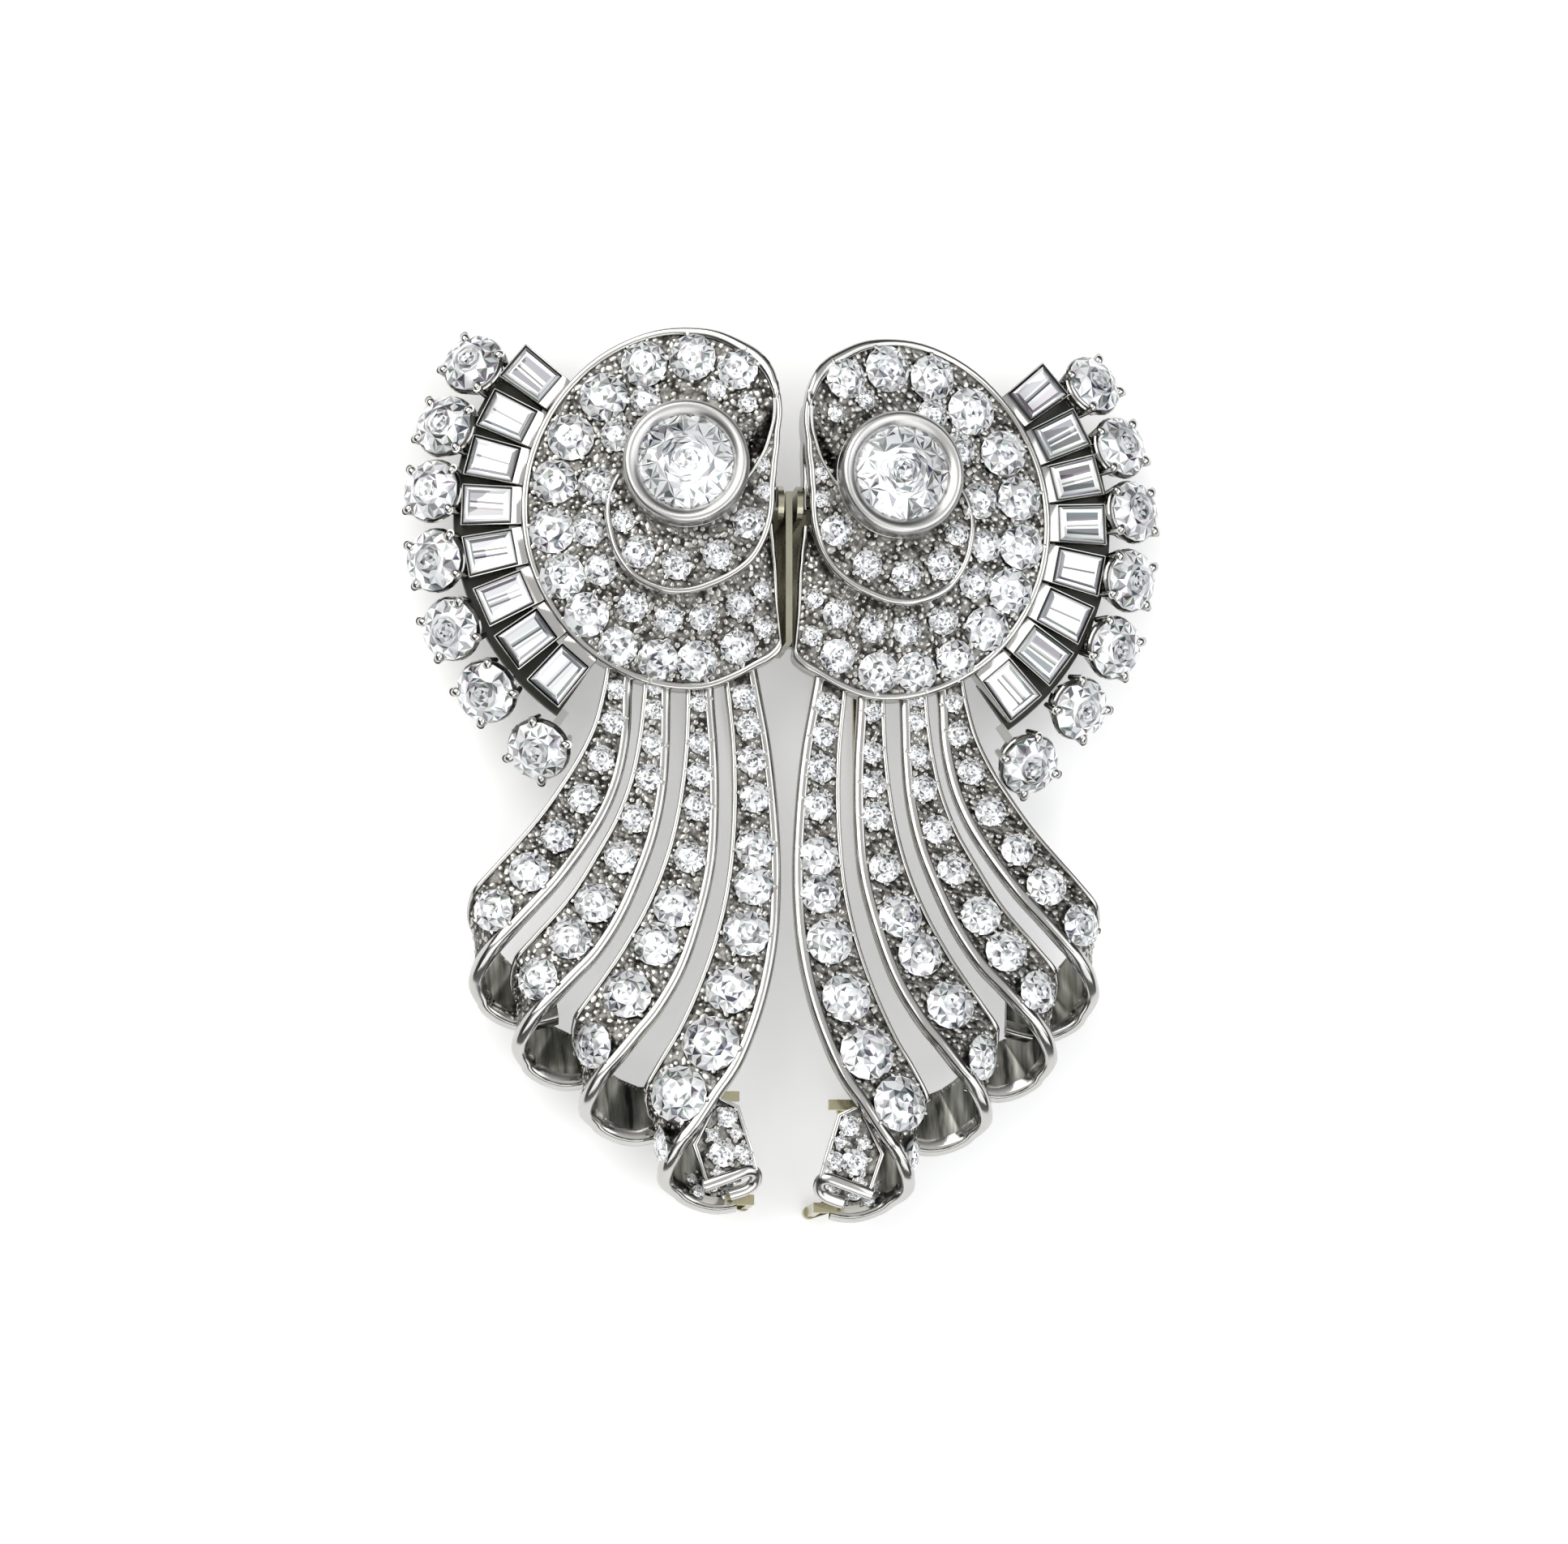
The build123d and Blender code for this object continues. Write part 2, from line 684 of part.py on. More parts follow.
def ribbon_pave():
    stones = []
    for ribbon, rows in zip(RIBBONS, RIBBON_STONES):
        frames = ribbon_frames(ribbon)
        for x, y, diameter in rows:
            stones.append(ribbon_seat(frames, x, y, seat_lift(diameter)) * pave_stone(0.5 * diameter))
    for x, y, diameter in LEAF_STONES:
        top = LEAF_BOTTOM + LEAF_THICKNESS + SEAT_GAP
        stones.append(Pos(x, y, top) * pave_stone(0.5 * diameter))
    return stones


# Soldered mount of one clip

def fork_post(x, y):
    bottom = FORK_THICKNESS + CLEARANCE
    top = outer_turn_height(x, y) - 0.5 * HEAD_PLATE
    return Pos(x, y, 0.5 * (bottom + top)) * Cylinder(POST_RADIUS, top - bottom)


def clip_mount():
    mount = outer_turn() + inner_turn() + collet() + gallery()
    for angle, inner_end in BAGUETTES:
        mount = mount + baguette_box(angle, inner_end)
    for angle, radius in ROUNDS:
        mount = mount + basket(angle, radius)
    for ribbon in RIBBONS:
        mount = mount + ribbon_body(ribbon)
    mount = mount + leaf()
    for x, y in FORK_POSTS:
        mount = mount + fork_post(x, y)
    return mount


# Clip fork, frame and pin

def prong(points):
    """Flat prong of even width along a middle line."""
    body = None
    for first, second in zip(points, points[1:]):
        run_x = second[0] - first[0]
        run_y = second[1] - first[1]
        length = math.hypot(run_x, run_y)
        swing = math.degrees(math.atan2(run_y, run_x))
        middle = Pos(0.5 * (first[0] + second[0]), 0.5 * (first[1] + second[1]), 0.5 * FORK_THICKNESS)
        bar = middle * Rot(0, 0, swing) * Box(length, PRONG_WIDTH, FORK_THICKNESS)
        end = Pos(second[0], second[1], 0.5 * FORK_THICKNESS) * Cylinder(0.5 * PRONG_WIDTH, FORK_THICKNESS)
        body = bar + end if body is None else body + bar + end
    return body


def fork_tab(foot_y, x, y, end_x, top):
    """Foot along the floor, upright and short arm that shows beside the ribbon."""
    foot = prong([(-6.4, foot_y), (x, y)])
    upright = Pos(x, y, 0.5 * top) * Box(TAB_THICKNESS, TAB_WIDTH, top)
    arm = Pos(0.5 * (x + end_x), y, top - 0.5 * TAB_THICKNESS)
    return foot + upright + arm * Box(abs(end_x - x), TAB_WIDTH, TAB_THICKNESS)


def clip_fork():
    face = make_face(Polyline([(x, y, 0) for x, y in FORK_PLATE], close=True))
    fork = extrude(face, amount=FORK_THICKNESS, dir=(0, 0, 1))
    fork = fork + prong(OUTER_PRONG) + prong(INNER_PRONG)
    for row in FORK_TABS:
        fork = fork + fork_tab(*row)
    return fork


def brooch_frame():
    """Cross bar and stem under the heads, with a fin and two lugs up between the clips."""
    low = FORK_THICKNESS + CLEARANCE
    bar = Pos(0, PIN_Y, low + 0.5 * FRAME_THICKNESS) * Box(29.0, 2.6, FRAME_THICKNESS)
    stem = Pos(0, 13.9, low + 0.5 * FRAME_THICKNESS) * Box(7.0, 8.0, FRAME_THICKNESS)
    fin_bottom = low + 0.2
    fin = Pos(0, 14.5, 0.5 * (fin_bottom + 8.4)) * Box(FIN_WIDTH, 10.6, 8.4 - fin_bottom)
    frame = bar + stem + fin
    for side in (-1, 1):
        lug = Pos(side * 0.66, 18.9, 0.5 * (fin_bottom + 8.4)) * Box(0.4, 2.4, 8.4 - fin_bottom)
        cap = Pos(side * 0.66, 18.9, 8.4) * Rot(0, 90, 0) * Cylinder(1.2, 0.4)
        block = Pos(side * PIN_BLOCK_X, PIN_Y, 0.5 * (0.1 + low + 0.2)) * Box(1.6, 2.0, low + 0.1)
        frame = frame + lug + cap + block
    return frame


def pin():
    length = 2 * (PIN_BLOCK_X - 0.8) - 2 * CLEARANCE
    return Pos(0, PIN_Y, 0.1 + PIN_RADIUS) * Rot(0, 90, 0) * Cylinder(PIN_RADIUS, length)


def save(shape, name):
    shape.label = name
    export_step(shape, "parts/" + name + ".step")


def right_side(shape):
    return Pos(0, -RIGHT_CLIP_DROP, 0) * shape.mirror(Plane.YZ)


def save_pair(shape, name):
    save(right_side(shape), "right_" + name)
    save(shape, "left_" + name)


def save_field(stones, name):
    """Loose stones of one field, kept together in one file for each clip."""
    save(Compound([right_side(stone) for stone in stones]), "right_" + name)
    save(Compound(stones), "left_" + name)


save_pair(clip_mount(), "clip_mount")
save_pair(collet_place() * Pos(0, 0, -0.78) * brilliant(CENTRE_STONE_RADIUS, 16), "centre_diamond")
for number, (angle, inner_end) in enumerate(BAGUETTES, 1):
    save_pair(baguette(angle, inner_end), "baguette_" + str(number))
for number, (angle, radius) in enumerate(ROUNDS, 1):
    save_pair(round_place(angle, radius) * brilliant(ROUND_RADIUS, 12), "round_diamond_" + str(number))
save_field(head_pave(), "head_pave")
save_field(ribbon_pave(), "ribbon_pave")
save_pair(clip_fork(), "clip_fork")
save(brooch_frame(), "brooch_frame")
save(pin(), "pin")
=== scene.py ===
import itertools
import math
import random

import bmesh
import bpy
from mathutils import Matrix, Vector


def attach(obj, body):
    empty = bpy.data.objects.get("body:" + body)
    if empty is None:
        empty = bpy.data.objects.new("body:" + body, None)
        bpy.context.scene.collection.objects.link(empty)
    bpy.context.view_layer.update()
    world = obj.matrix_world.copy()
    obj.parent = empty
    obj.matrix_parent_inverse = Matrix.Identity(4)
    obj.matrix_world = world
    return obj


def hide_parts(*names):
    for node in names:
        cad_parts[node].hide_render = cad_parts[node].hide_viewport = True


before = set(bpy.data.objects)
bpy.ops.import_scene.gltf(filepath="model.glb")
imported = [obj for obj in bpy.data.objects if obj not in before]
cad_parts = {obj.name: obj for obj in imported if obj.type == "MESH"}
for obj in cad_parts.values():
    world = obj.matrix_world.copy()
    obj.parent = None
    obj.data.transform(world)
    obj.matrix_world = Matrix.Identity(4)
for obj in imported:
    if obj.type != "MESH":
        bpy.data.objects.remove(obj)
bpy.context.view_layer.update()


# Outer turn of each scroll head.
# A pierced platinum plate that winds round the large stone and ends in a raised, rounded
# corner. Its face is painted near-black with shade between the grains; the rim is polished.

POLISHED = (0.57, 0.563, 0.54, 1.0)
# Near-black painted shade in the pits between the stones
CREVICE_SHADE = (0.03, 0.029, 0.026, 1.0)


def principled(name, colour, metallic, roughness):
    """A material using its default node tree of one shader and one output."""
    material = bpy.data.materials.new(name)
    material.use_nodes = True
    shader = material.node_tree.nodes["Principled BSDF"]
    shader.inputs["Base Color"].default_value = colour
    shader.inputs["Metallic"].default_value = metallic
    shader.inputs["Roughness"].default_value = roughness
    return material, material.node_tree.nodes, material.node_tree.links, shader


def noise(nodes, links, vector, scale, detail):
    """Cloudy noise over a vector; returns its strength."""
    cloud = nodes.new("ShaderNodeTexNoise")
    cloud.inputs["Scale"].default_value = scale
    cloud.inputs["Detail"].default_value = detail
    links.new(vector, cloud.inputs["Vector"])
    return cloud.outputs["Fac"]


def rescale(nodes, links, value, low, high, new_low, new_high):
    """A value's range low..high brought to new_low..new_high."""
    change = nodes.new("ShaderNodeMapRange")
    change.inputs["From Min"].default_value = low
    change.inputs["From Max"].default_value = high
    change.inputs["To Min"].default_value = new_low
    change.inputs["To Max"].default_value = new_high
    links.new(value, change.inputs["Value"])
    return change.outputs["Result"]


def stretched(nodes, links, where, turn, scale):
    """Object coordinates turned and drawn out into streaks."""
    stretch = nodes.new("ShaderNodeMapping")
    stretch.inputs["Rotation"].default_value = turn
    stretch.inputs["Scale"].default_value = scale
    links.new(where.outputs["Object"], stretch.inputs["Vector"])
    return stretch.outputs["Vector"]


def relief(nodes, links, shader, height, strength, distance, sunk):
    """Fine relief from a height; sunk turns it inward."""
    bump = nodes.new("ShaderNodeBump")
    bump.invert = sunk
    bump.inputs["Strength"].default_value = strength
    bump.inputs["Distance"].default_value = distance
    links.new(height, bump.inputs["Height"])
    links.new(bump.outputs["Normal"], shader.inputs["Normal"])


def colour_ramp(nodes, links, value, stops):
    """Colours given by a value, from a table of positions and colours."""
    ramp = nodes.new("ShaderNodeValToRGB")
    elements = ramp.color_ramp.elements
    elements.remove(elements[1])
    elements[0].position, elements[0].color = stops[0]
    for position, colour in stops[1:]:
        elements.new(position).color = colour
    links.new(value, ramp.inputs["Fac"])
    return ramp.outputs["Color"]


def mixed_colour(nodes, links, shader, **inputs):
    """Base colour mixed from what A, B and Factor are given: a link or a fixed value."""
    mix = nodes.new("ShaderNodeMix")
    mix.data_type = "RGBA"
    for name, value in inputs.items():
        if isinstance(value, bpy.types.NodeSocket):
            links.new(value, mix.inputs[name])
        else:
            mix.inputs[name].default_value = value
    links.new(mix.outputs["Result"], shader.inputs["Base Color"])


def polished_metal(name, colour, low, high, scratch):
    """Polished metal with soft cloudy wear, fine scratches and a slightly uneven colour."""
    material, nodes, links, shader = principled(name, colour, 1.0, low)
    where = nodes.new("ShaderNodeTexCoord")
    cloud = noise(nodes, links, where.outputs["Object"], 420.0, 5.0)
    links.new(rescale(nodes, links, cloud, 0.3, 0.7, low, high), shader.inputs["Roughness"])
    worn = tuple(0.78 * part for part in colour[:3]) + (1.0,)
    mixed_colour(nodes, links, shader, A=colour, B=worn, Factor=cloud)
    streaks = stretched(nodes, links, where, (0.2, 0.3, 0.7), (9000.0, 900.0, 2500.0))
    relief(nodes, links, shader, noise(nodes, links, streaks, 1.0, 2.0), scratch, 0.00002, False)
    return material


def shade_painted_ground(name):
    """Drilled metal between the stones, painted with shade: near-black pits with brighter cut edges."""
    material, nodes, links, shader = principled(name, CREVICE_SHADE, 1.0, 0.35)
    where = nodes.new("ShaderNodeTexCoord")
    pits = nodes.new("ShaderNodeTexVoronoi")
    pits.inputs["Scale"].default_value = 2600.0
    links.new(where.outputs["Object"], pits.inputs["Vector"])
    depth = pits.outputs["Distance"]
    patches = noise(nodes, links, where.outputs["Object"], 1300.0, 4.0)
    share = rescale(nodes, links, patches, 0.42, 0.62, 0.0, 1.0)
    edges = colour_ramp(nodes, links, depth, [(0.12, (0.26, 0.25, 0.23, 1.0)), (0.42, CREVICE_SHADE)])
    mixed_colour(nodes, links, shader, A=edges, B=(0.2, 0.195, 0.18, 1.0), Factor=share)
    relief(nodes, links, shader, depth, 0.8, 0.0001, True)
    return material


platinum = polished_metal("platinum_polished", POLISHED, 0.07, 0.2, 0.12)
ground = shade_painted_ground("platinum_pierced_painted_shade")


def smooth_rows(rows, steps):
    """More rows between those of a table, on an even curve through them."""
    result = []
    for index in range(len(rows) - 1):
        before = rows[max(index - 1, 0)]
        first = rows[index]
        second = rows[index + 1]
        after = rows[min(index + 2, len(rows) - 1)]
        for step in range(steps):
            t = step / steps
            result.append(tuple(
                0.5 * (2 * b + (c - a) * t + (2 * a - 5 * b + 4 * c - d) * t * t
                       + (3 * b - a - 3 * c + d) * t ** 3)
                for a, b, c, d in zip(before, first, second, after)
            ))
    result.append(tuple(rows[-1]))
    return result


def sweep(bm, places, outlines, material):
    """Extrude a closed outline from place to place and close both ends."""
    origin, across, up = places[0]
    verts = [bm.verts.new(origin + across * side + up * height) for side, height in outlines[0]]
    edges = [bm.edges.new(pair) for pair in zip(verts, verts[1:] + verts[:1])]
    first_end = edges
    faces = []
    for (origin, across, up), outline in zip(places[1:], outlines[1:]):
        made = bmesh.ops.extrude_edge_only(bm, edges=edges)["geom"]
        faces += [part for part in made if isinstance(part, bmesh.types.BMFace)]
        fresh = {part for part in made if isinstance(part, bmesh.types.BMVert)}
        verts = [
            edge.other_vert(vert) for vert in verts for edge in vert.link_edges
            if edge.other_vert(vert) in fresh
        ]
        for vert, (side, height) in zip(verts, outline):
            vert.co = origin + across * side + up * height
        edges = [bm.edges.get(pair) for pair in zip(verts, verts[1:] + verts[:1])]
    for loop in (first_end, edges):
        faces += bmesh.ops.edgeloop_fill(bm, edges=loop)["faces"]
    for face in faces:
        face.material_index = material
        face.smooth = True
    bmesh.ops.recalc_face_normals(bm, faces=faces)


def rounded_rim(width, height, depth):
    """Outline of a polished rim: straight sides and a rounded top, its outer side at 0."""
    points = [(-width, -depth), (0.0, -depth)]
    for step in range(7):
        turn = math.pi * step / 6
        side = -0.5 * width + 0.5 * width * math.cos(turn)
        points.append((side, height - 0.3 * width + 0.3 * width * math.sin(turn)))
    return points


def spoke(centre, angle):
    """Place at a centre whose across direction points out at an angle."""
    turn = math.radians(angle)
    return centre, Vector((math.cos(turn), math.sin(turn), 0)), Vector((0, 0, 1))


def smooth_all(bm):
    for face in bm.faces:
        face.smooth = True


def as_mesh(bm, name):
    """Close a bmesh and keep it as a mesh."""
    mesh = bpy.data.meshes.new(name)
    bm.to_mesh(mesh)
    bm.free()
    return mesh


def set_half(bm, side, name, materials, slot, *nodes):
    """Set one clip's piece, made on the left in millimetres, in place of its nodes."""
    bmesh.ops.scale(bm, vec=(0.001, 0.001, 0.001), verts=bm.verts)
    if side == "right":
        bmesh.ops.scale(bm, vec=(-1, 1, 1), verts=bm.verts)
        bmesh.ops.translate(bm, vec=(0, RIGHT_SHIFT, 0), verts=bm.verts)
        bmesh.ops.reverse_faces(bm, faces=bm.faces)
    mesh = as_mesh(bm, side + "_" + name)
    mesh.set_sharp_from_angle(angle=math.radians(38))
    piece = bpy.data.objects.new(side + "_" + name, mesh)
    bpy.context.scene.collection.objects.link(piece)
    for material in materials:
        mesh.materials.append(material)
    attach(piece, "root")
    if nodes:
        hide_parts(*[side + "_" + node for node in nodes])


def set_pair(bm, name, materials, slot, *nodes):
    """Set a left piece, made in millimetres, and its mirror image."""
    for side in ("left", "right"):
        set_half(bm.copy(), side, name, materials, slot, *nodes)
    bm.free()


# The right clip sits half a millimetre lower
RIGHT_SHIFT = -0.0005
HEAD = Vector((-6.0, 18.3, 0.0))
HEAD_BORE = 4.0
# Angle, reach, height of the rim, height at the bore, width of the rim
OUTER_TURN = [
    (-4.0, 4.95, 7.9, 8.3, 0.4),
    (-14.0, 5.15, 7.9, 8.3, 0.4),
    (-24.0, 5.6, 7.8, 8.3, 0.4),
    (-31.7, 6.1, 7.8, 8.3, 0.4),
    (-42.8, 7.2, 7.8, 8.3, 0.4),
    (-51.0, 8.5, 7.8, 8.3, 0.4),
    (-56.6, 10.0, 7.8, 8.3, 0.4),
    (-59.5, 11.0, 7.7, 8.3, 0.6),
    (-64.0, 11.3, 7.7, 8.3, 0.55),
    (-70.0, 11.4, 7.6, 8.3, 0.5),
    (-79.0, 11.8, 7.5, 8.3, 0.5),
    (-90.0, 12.3, 7.4, 8.3, 0.5),
    (-105.0, 12.5, 7.3, 8.3, 0.5),
    (-120.0, 12.55, 7.2, 8.3, 0.5),
    (-135.0, 12.55, 7.2, 8.3, 0.5),
    (-150.0, 12.5, 7.2, 8.3, 0.5),
    (-165.0, 12.5, 7.2, 8.3, 0.5),
    (-180.0, 12.5, 7.2, 8.3, 0.5),
    (-195.0, 12.6, 7.2, 8.3, 0.5),
    (-210.0, 12.75, 7.2, 8.4, 0.5),
    (-225.0, 12.95, 7.3, 8.5, 0.5),
    (-240.0, 13.1, 7.8, 8.6, 0.5),
    (-255.0, 13.05, 8.6, 8.8, 0.52),
    (-266.0, 12.8, 9.2, 9.0, 0.6),
    (-274.0, 12.5, 9.8, 9.2, 0.72),
    (-282.0, 12.0, 10.3, 9.3, 0.9),
    (-288.5, 11.6, 10.6, 9.3, 1.0),
    (-294.5, 10.95, 10.9, 9.2, 1.05),
    (-299.0, 10.2, 11.0, 9.1, 0.95),
    (-303.0, 9.4, 11.0, 9.0, 0.75),
    (-312.0, 7.6, 9.2, 8.8, 0.5),
    (-330.0, 5.8, 8.8, 8.5, 0.4),
    (-352.0, 5.1, 8.6, 8.4, 0.4),
]
turn_rows = smooth_rows(OUTER_TURN, 4)

places = []
bodies = []
rims = []
floors = []
for angle, reach, rim, core, width in turn_rows:
    places.append(spoke(HEAD, angle))
    bodies.append([
        (HEAD_BORE, core - 1.2), (reach - 0.12, rim - 2.2), (reach - 0.02, rim - 2.05),
        (reach - 0.02, rim - 0.5), (HEAD_BORE, core - 0.1),
    ])
    rims.append([(reach + side, rim + height) for side, height in rounded_rim(width, 0, 0.75)])
    floors.append([
        (HEAD_BORE, core - 0.4), (reach - 0.6 * width, rim - 0.65),
        (reach - 0.6 * width, rim - 0.35), (HEAD_BORE, core),
    ])
bm = bmesh.new()
sweep(bm, places, bodies, 0)
sweep(bm, places, rims, 0)
sweep(bm, places, floors, 1)
set_pair(bm, "outer_turn", [platinum, ground], "platinum", "clip_mount")


# Inner turn of each head.
# A raised platinum band that winds in around the collet. It is soldered onto the outer
# turn, has a polished rim on both edges, and carries one row of small stones.

COLLET = Vector((-7.56, 21.14, 0.0))
# Angle, reach, height of the rim, radius where it starts
INNER_TURN = [
    (37.2, 8.4, 11.0, 7.7),
    (28.0, 7.7, 11.0, 6.9),
    (20.2, 7.1, 11.0, 6.2),
    (11.5, 6.75, 10.95, 5.6),
    (3.3, 6.5, 10.9, 5.05),
    (-5.0, 6.45, 10.85, 4.6),
    (-13.1, 6.5, 10.8, 4.25),
    (-22.0, 6.8, 10.75, 4.1),
    (-31.2, 7.2, 10.7, 4.0),
    (-42.0, 7.7, 10.6, 4.0),
    (-53.5, 8.2, 10.6, 4.0),
    (-64.0, 8.45, 10.5, 4.0),
    (-76.0, 8.65, 10.4, 4.0),
    (-87.0, 8.9, 10.3, 4.0),
    (-98.0, 8.95, 10.2, 4.0),
    (-111.5, 8.65, 10.0, 4.0),
    (-119.0, 8.25, 9.9, 4.0),
    (-128.0, 7.65, 9.8, 4.0),
    (-138.0, 6.9, 9.7, 4.0),
    (-149.0, 6.2, 9.6, 4.0),
    (-161.0, 5.4, 9.5, 4.0),
    (-172.5, 4.6, 9.4, 4.0),
]
inner_rows = smooth_rows(INNER_TURN, 4)

places = []
bodies = []
rims = []
strips = []
floors = []
for angle, reach, rim, start in inner_rows:
    places.append(spoke(COLLET, angle))
    bodies.append([
        (start, 7.5), (reach - 0.1, 7.5), (reach - 0.02, 7.6), (reach - 0.02, rim - 0.5),
        (start, rim - 0.45),
    ])
    rims.append([(reach + side, rim + height) for side, height in rounded_rim(0.46, 0, 0.8)])
    strips.append([(start + 0.3 + side, rim + height) for side, height in rounded_rim(0.3, 0, 3.0)])
    floors.append([
        (start, rim - 0.6), (reach - 0.3, rim - 0.6),
        (reach - 0.3, rim - 0.32), (start, rim - 0.32),
    ])
bm = bmesh.new()
sweep(bm, places, bodies, 0)
sweep(bm, places, rims, 0)
sweep(bm, places[:25], strips[:25], 0)
sweep(bm, places, floors, 1)
set_pair(bm, "inner_turn", [platinum, ground], "platinum")


# Collet of each large diamond.
# A turned platinum cup whose lip is rubbed over the stone and polished round, with a fine
# scored line round its wall. It leans a little outward and is soldered to the turns.

COLLET_TOP = Vector((0, 0, 12.2))
COLLET_LEAN = -6.5
COLLET_PLACE = (
    Matrix.Translation(COLLET + COLLET_TOP) @ Matrix.Rotation(math.radians(COLLET_LEAN), 4, "Y")
)
# Radius and height about the collet's axis
COLLET_PROFILE = [
    (3.24, -4.3), (3.24, -1.1), (3.34, -0.80), (3.25, -0.62), (3.26, -0.48), (3.32, -0.38),
    (3.42, -0.29), (3.56, -0.20), (3.71, -0.13), (3.87, -0.08), (4.02, -0.08), (4.15, -0.13),
    (4.25, -0.22), (4.33, -0.36), (4.37, -0.54), (4.37, -1.55), (4.3, -1.6), (4.3, -1.68),
    (4.37, -1.73), (4.35, -4.3),
]


def spun(bm, profile, steps, material):
    """Turn a closed profile of radius and height round the Z axis."""
    verts = [bm.verts.new((radius, 0, height)) for radius, height in profile]
    edges = [bm.edges.new(pair) for pair in zip(verts, verts[1:] + verts[:1])]
    before = set(bm.faces)
    bmesh.ops.spin(
        bm, geom=verts + edges, cent=(0, 0, 0), axis=(0, 0, 1), angle=2 * math.pi,
        steps=steps, use_merge=True, use_duplicate=False
    )
    faces = [face for face in bm.faces if face not in before]
    bmesh.ops.recalc_face_normals(bm, faces=faces)
    for face in faces:
        face.smooth = True
        face.material_index = material


soft_metal = polished_metal("platinum_burnished", (0.56, 0.555, 0.54, 1.0), 0.24, 0.36, 0.15)
bm = bmesh.new()
spun(bm, COLLET_PROFILE, 96, 0)
bmesh.ops.transform(bm, matrix=COLLET_PLACE, verts=bm.verts)
set_pair(bm, "collet", [soft_metal], "platinum")


# Large round diamonds, one in each collet.
# Brilliants cut with a table, stars, kites and halves. The facets that show through the
# table are cut into it, and each facet is painted with the light or dark it would throw back.

# Share of the facets, painted light
PAINTED_FACET_LIGHTS = [(0.32, 1.0), (0.21, 0.82), (0.17, 0.6), (0.17, 0.36), (0.13, 0.08)]


def painted_facet_light(draw):
    """One of the painted lights that a facet can show, by its share."""
    for share, light in PAINTED_FACET_LIGHTS:
        draw -= share
        if draw <= 0:
            return light
    return PAINTED_FACET_LIGHTS[-1][1]


def diamond_material(name):
    """Cut diamond: hard mirror facets, each painted with its own reflected light, over a bright body,
    with a faint painted fleck of coloured fire.
    """
    material, nodes, links, shader = principled(name, (0.9, 0.92, 0.94, 1.0), 0.25, 0.03)
    # Painted reflected light of each facet, read from a face attribute
    light = nodes.new("ShaderNodeAttribute")
    light.attribute_name = "painted_facet_light"
    tones = colour_ramp(nodes, links, light.outputs["Fac"], [
        (0.0, (0.012, 0.014, 0.018, 1.0)), (0.5, (0.36, 0.375, 0.385, 1.0)),
        (1.0, (0.98, 0.985, 1.0, 1.0)),
    ])
    # Faint painted fire: a coloured fleck of reflection on each facet
    painted_fire = nodes.new("ShaderNodeTexWhiteNoise")
    painted_fire.noise_dimensions = "1D"
    links.new(light.outputs["Fac"], painted_fire.inputs["W"])
    mixed_colour(nodes, links, shader, A=tones, B=painted_fire.outputs["Color"], Factor=0.05)
    shader.inputs["IOR"].default_value = 1.9
    return material


diamond = diamond_material("diamond_cut")


# Rings of a brilliant of radius 1: radius, height, corners, turn
BRILLIANT_RINGS = [
    (0.56, 0.30, 8, 22.5), (0.79, 0.175, 8, 0), (1.0, 0.025, 16, 0), (1.0, -0.025, 16, 0),
]
TABLE_TURNS = (22.5, 13, 31)


def brilliant(bottom, foot, steps, crown_cuts):
    """Brilliant of radius 1: hull of its rings, then table and crown cut into finer facets."""
    bm = bmesh.new()
    for radius, height, corners, turn in BRILLIANT_RINGS + [(foot, bottom, 8, 0)]:
        matrix = Matrix.Translation((0, 0, height)) @ Matrix.Rotation(math.radians(turn), 4, "Z")
        bmesh.ops.create_circle(bm, radius=radius, segments=corners, matrix=matrix)
    bmesh.ops.delete(bm, geom=list(bm.edges), context="EDGES_FACES")
    bmesh.ops.convex_hull(bm, input=bm.verts)
    bmesh.ops.dissolve_limit(bm, angle_limit=math.radians(1), verts=bm.verts, edges=bm.edges)
    table = max(bm.faces, key=lambda face: face.calc_center_median().z + face.normal.z)
    for step in range(steps):
        bmesh.ops.inset_individual(bm, faces=[table], thickness=0.5 / (steps + 1), depth=0)
        turn = Matrix.Rotation(math.radians(TABLE_TURNS[step % 3]), 3, "Z")
        bmesh.ops.rotate(bm, cent=(0, 0, 0), matrix=turn, verts=table.verts)
        bmesh.ops.translate(bm, vec=(0, 0, 0.025 * (1 - 2 * (step % 2))), verts=table.verts)
    bmesh.ops.poke(bm, faces=[table])
    for cut in range(crown_cuts):
        crown = [face for face in bm.faces if 0.3 < face.normal.z < 0.93]
        bmesh.ops.poke(bm, faces=crown, offset=0.012 * (1 - 2 * cut))
    flat = [face for face in bm.faces if len(face.verts) > 3 and face.normal.z > 0.9]
    bmesh.ops.triangulate(bm, faces=flat)
    bmesh.ops.recalc_face_normals(bm, faces=bm.faces)
    return bm


def add_copy(bm, mesh, matrix):
    """Copy a mesh into another at a place; returns the copy's faces."""
    verts, faces = len(bm.verts), len(bm.faces)
    bm.from_mesh(mesh)
    bm.verts.ensure_lookup_table()
    bm.faces.ensure_lookup_table()
    bmesh.ops.transform(bm, matrix=matrix, verts=bm.verts[verts:])
    return bm.faces[faces:]


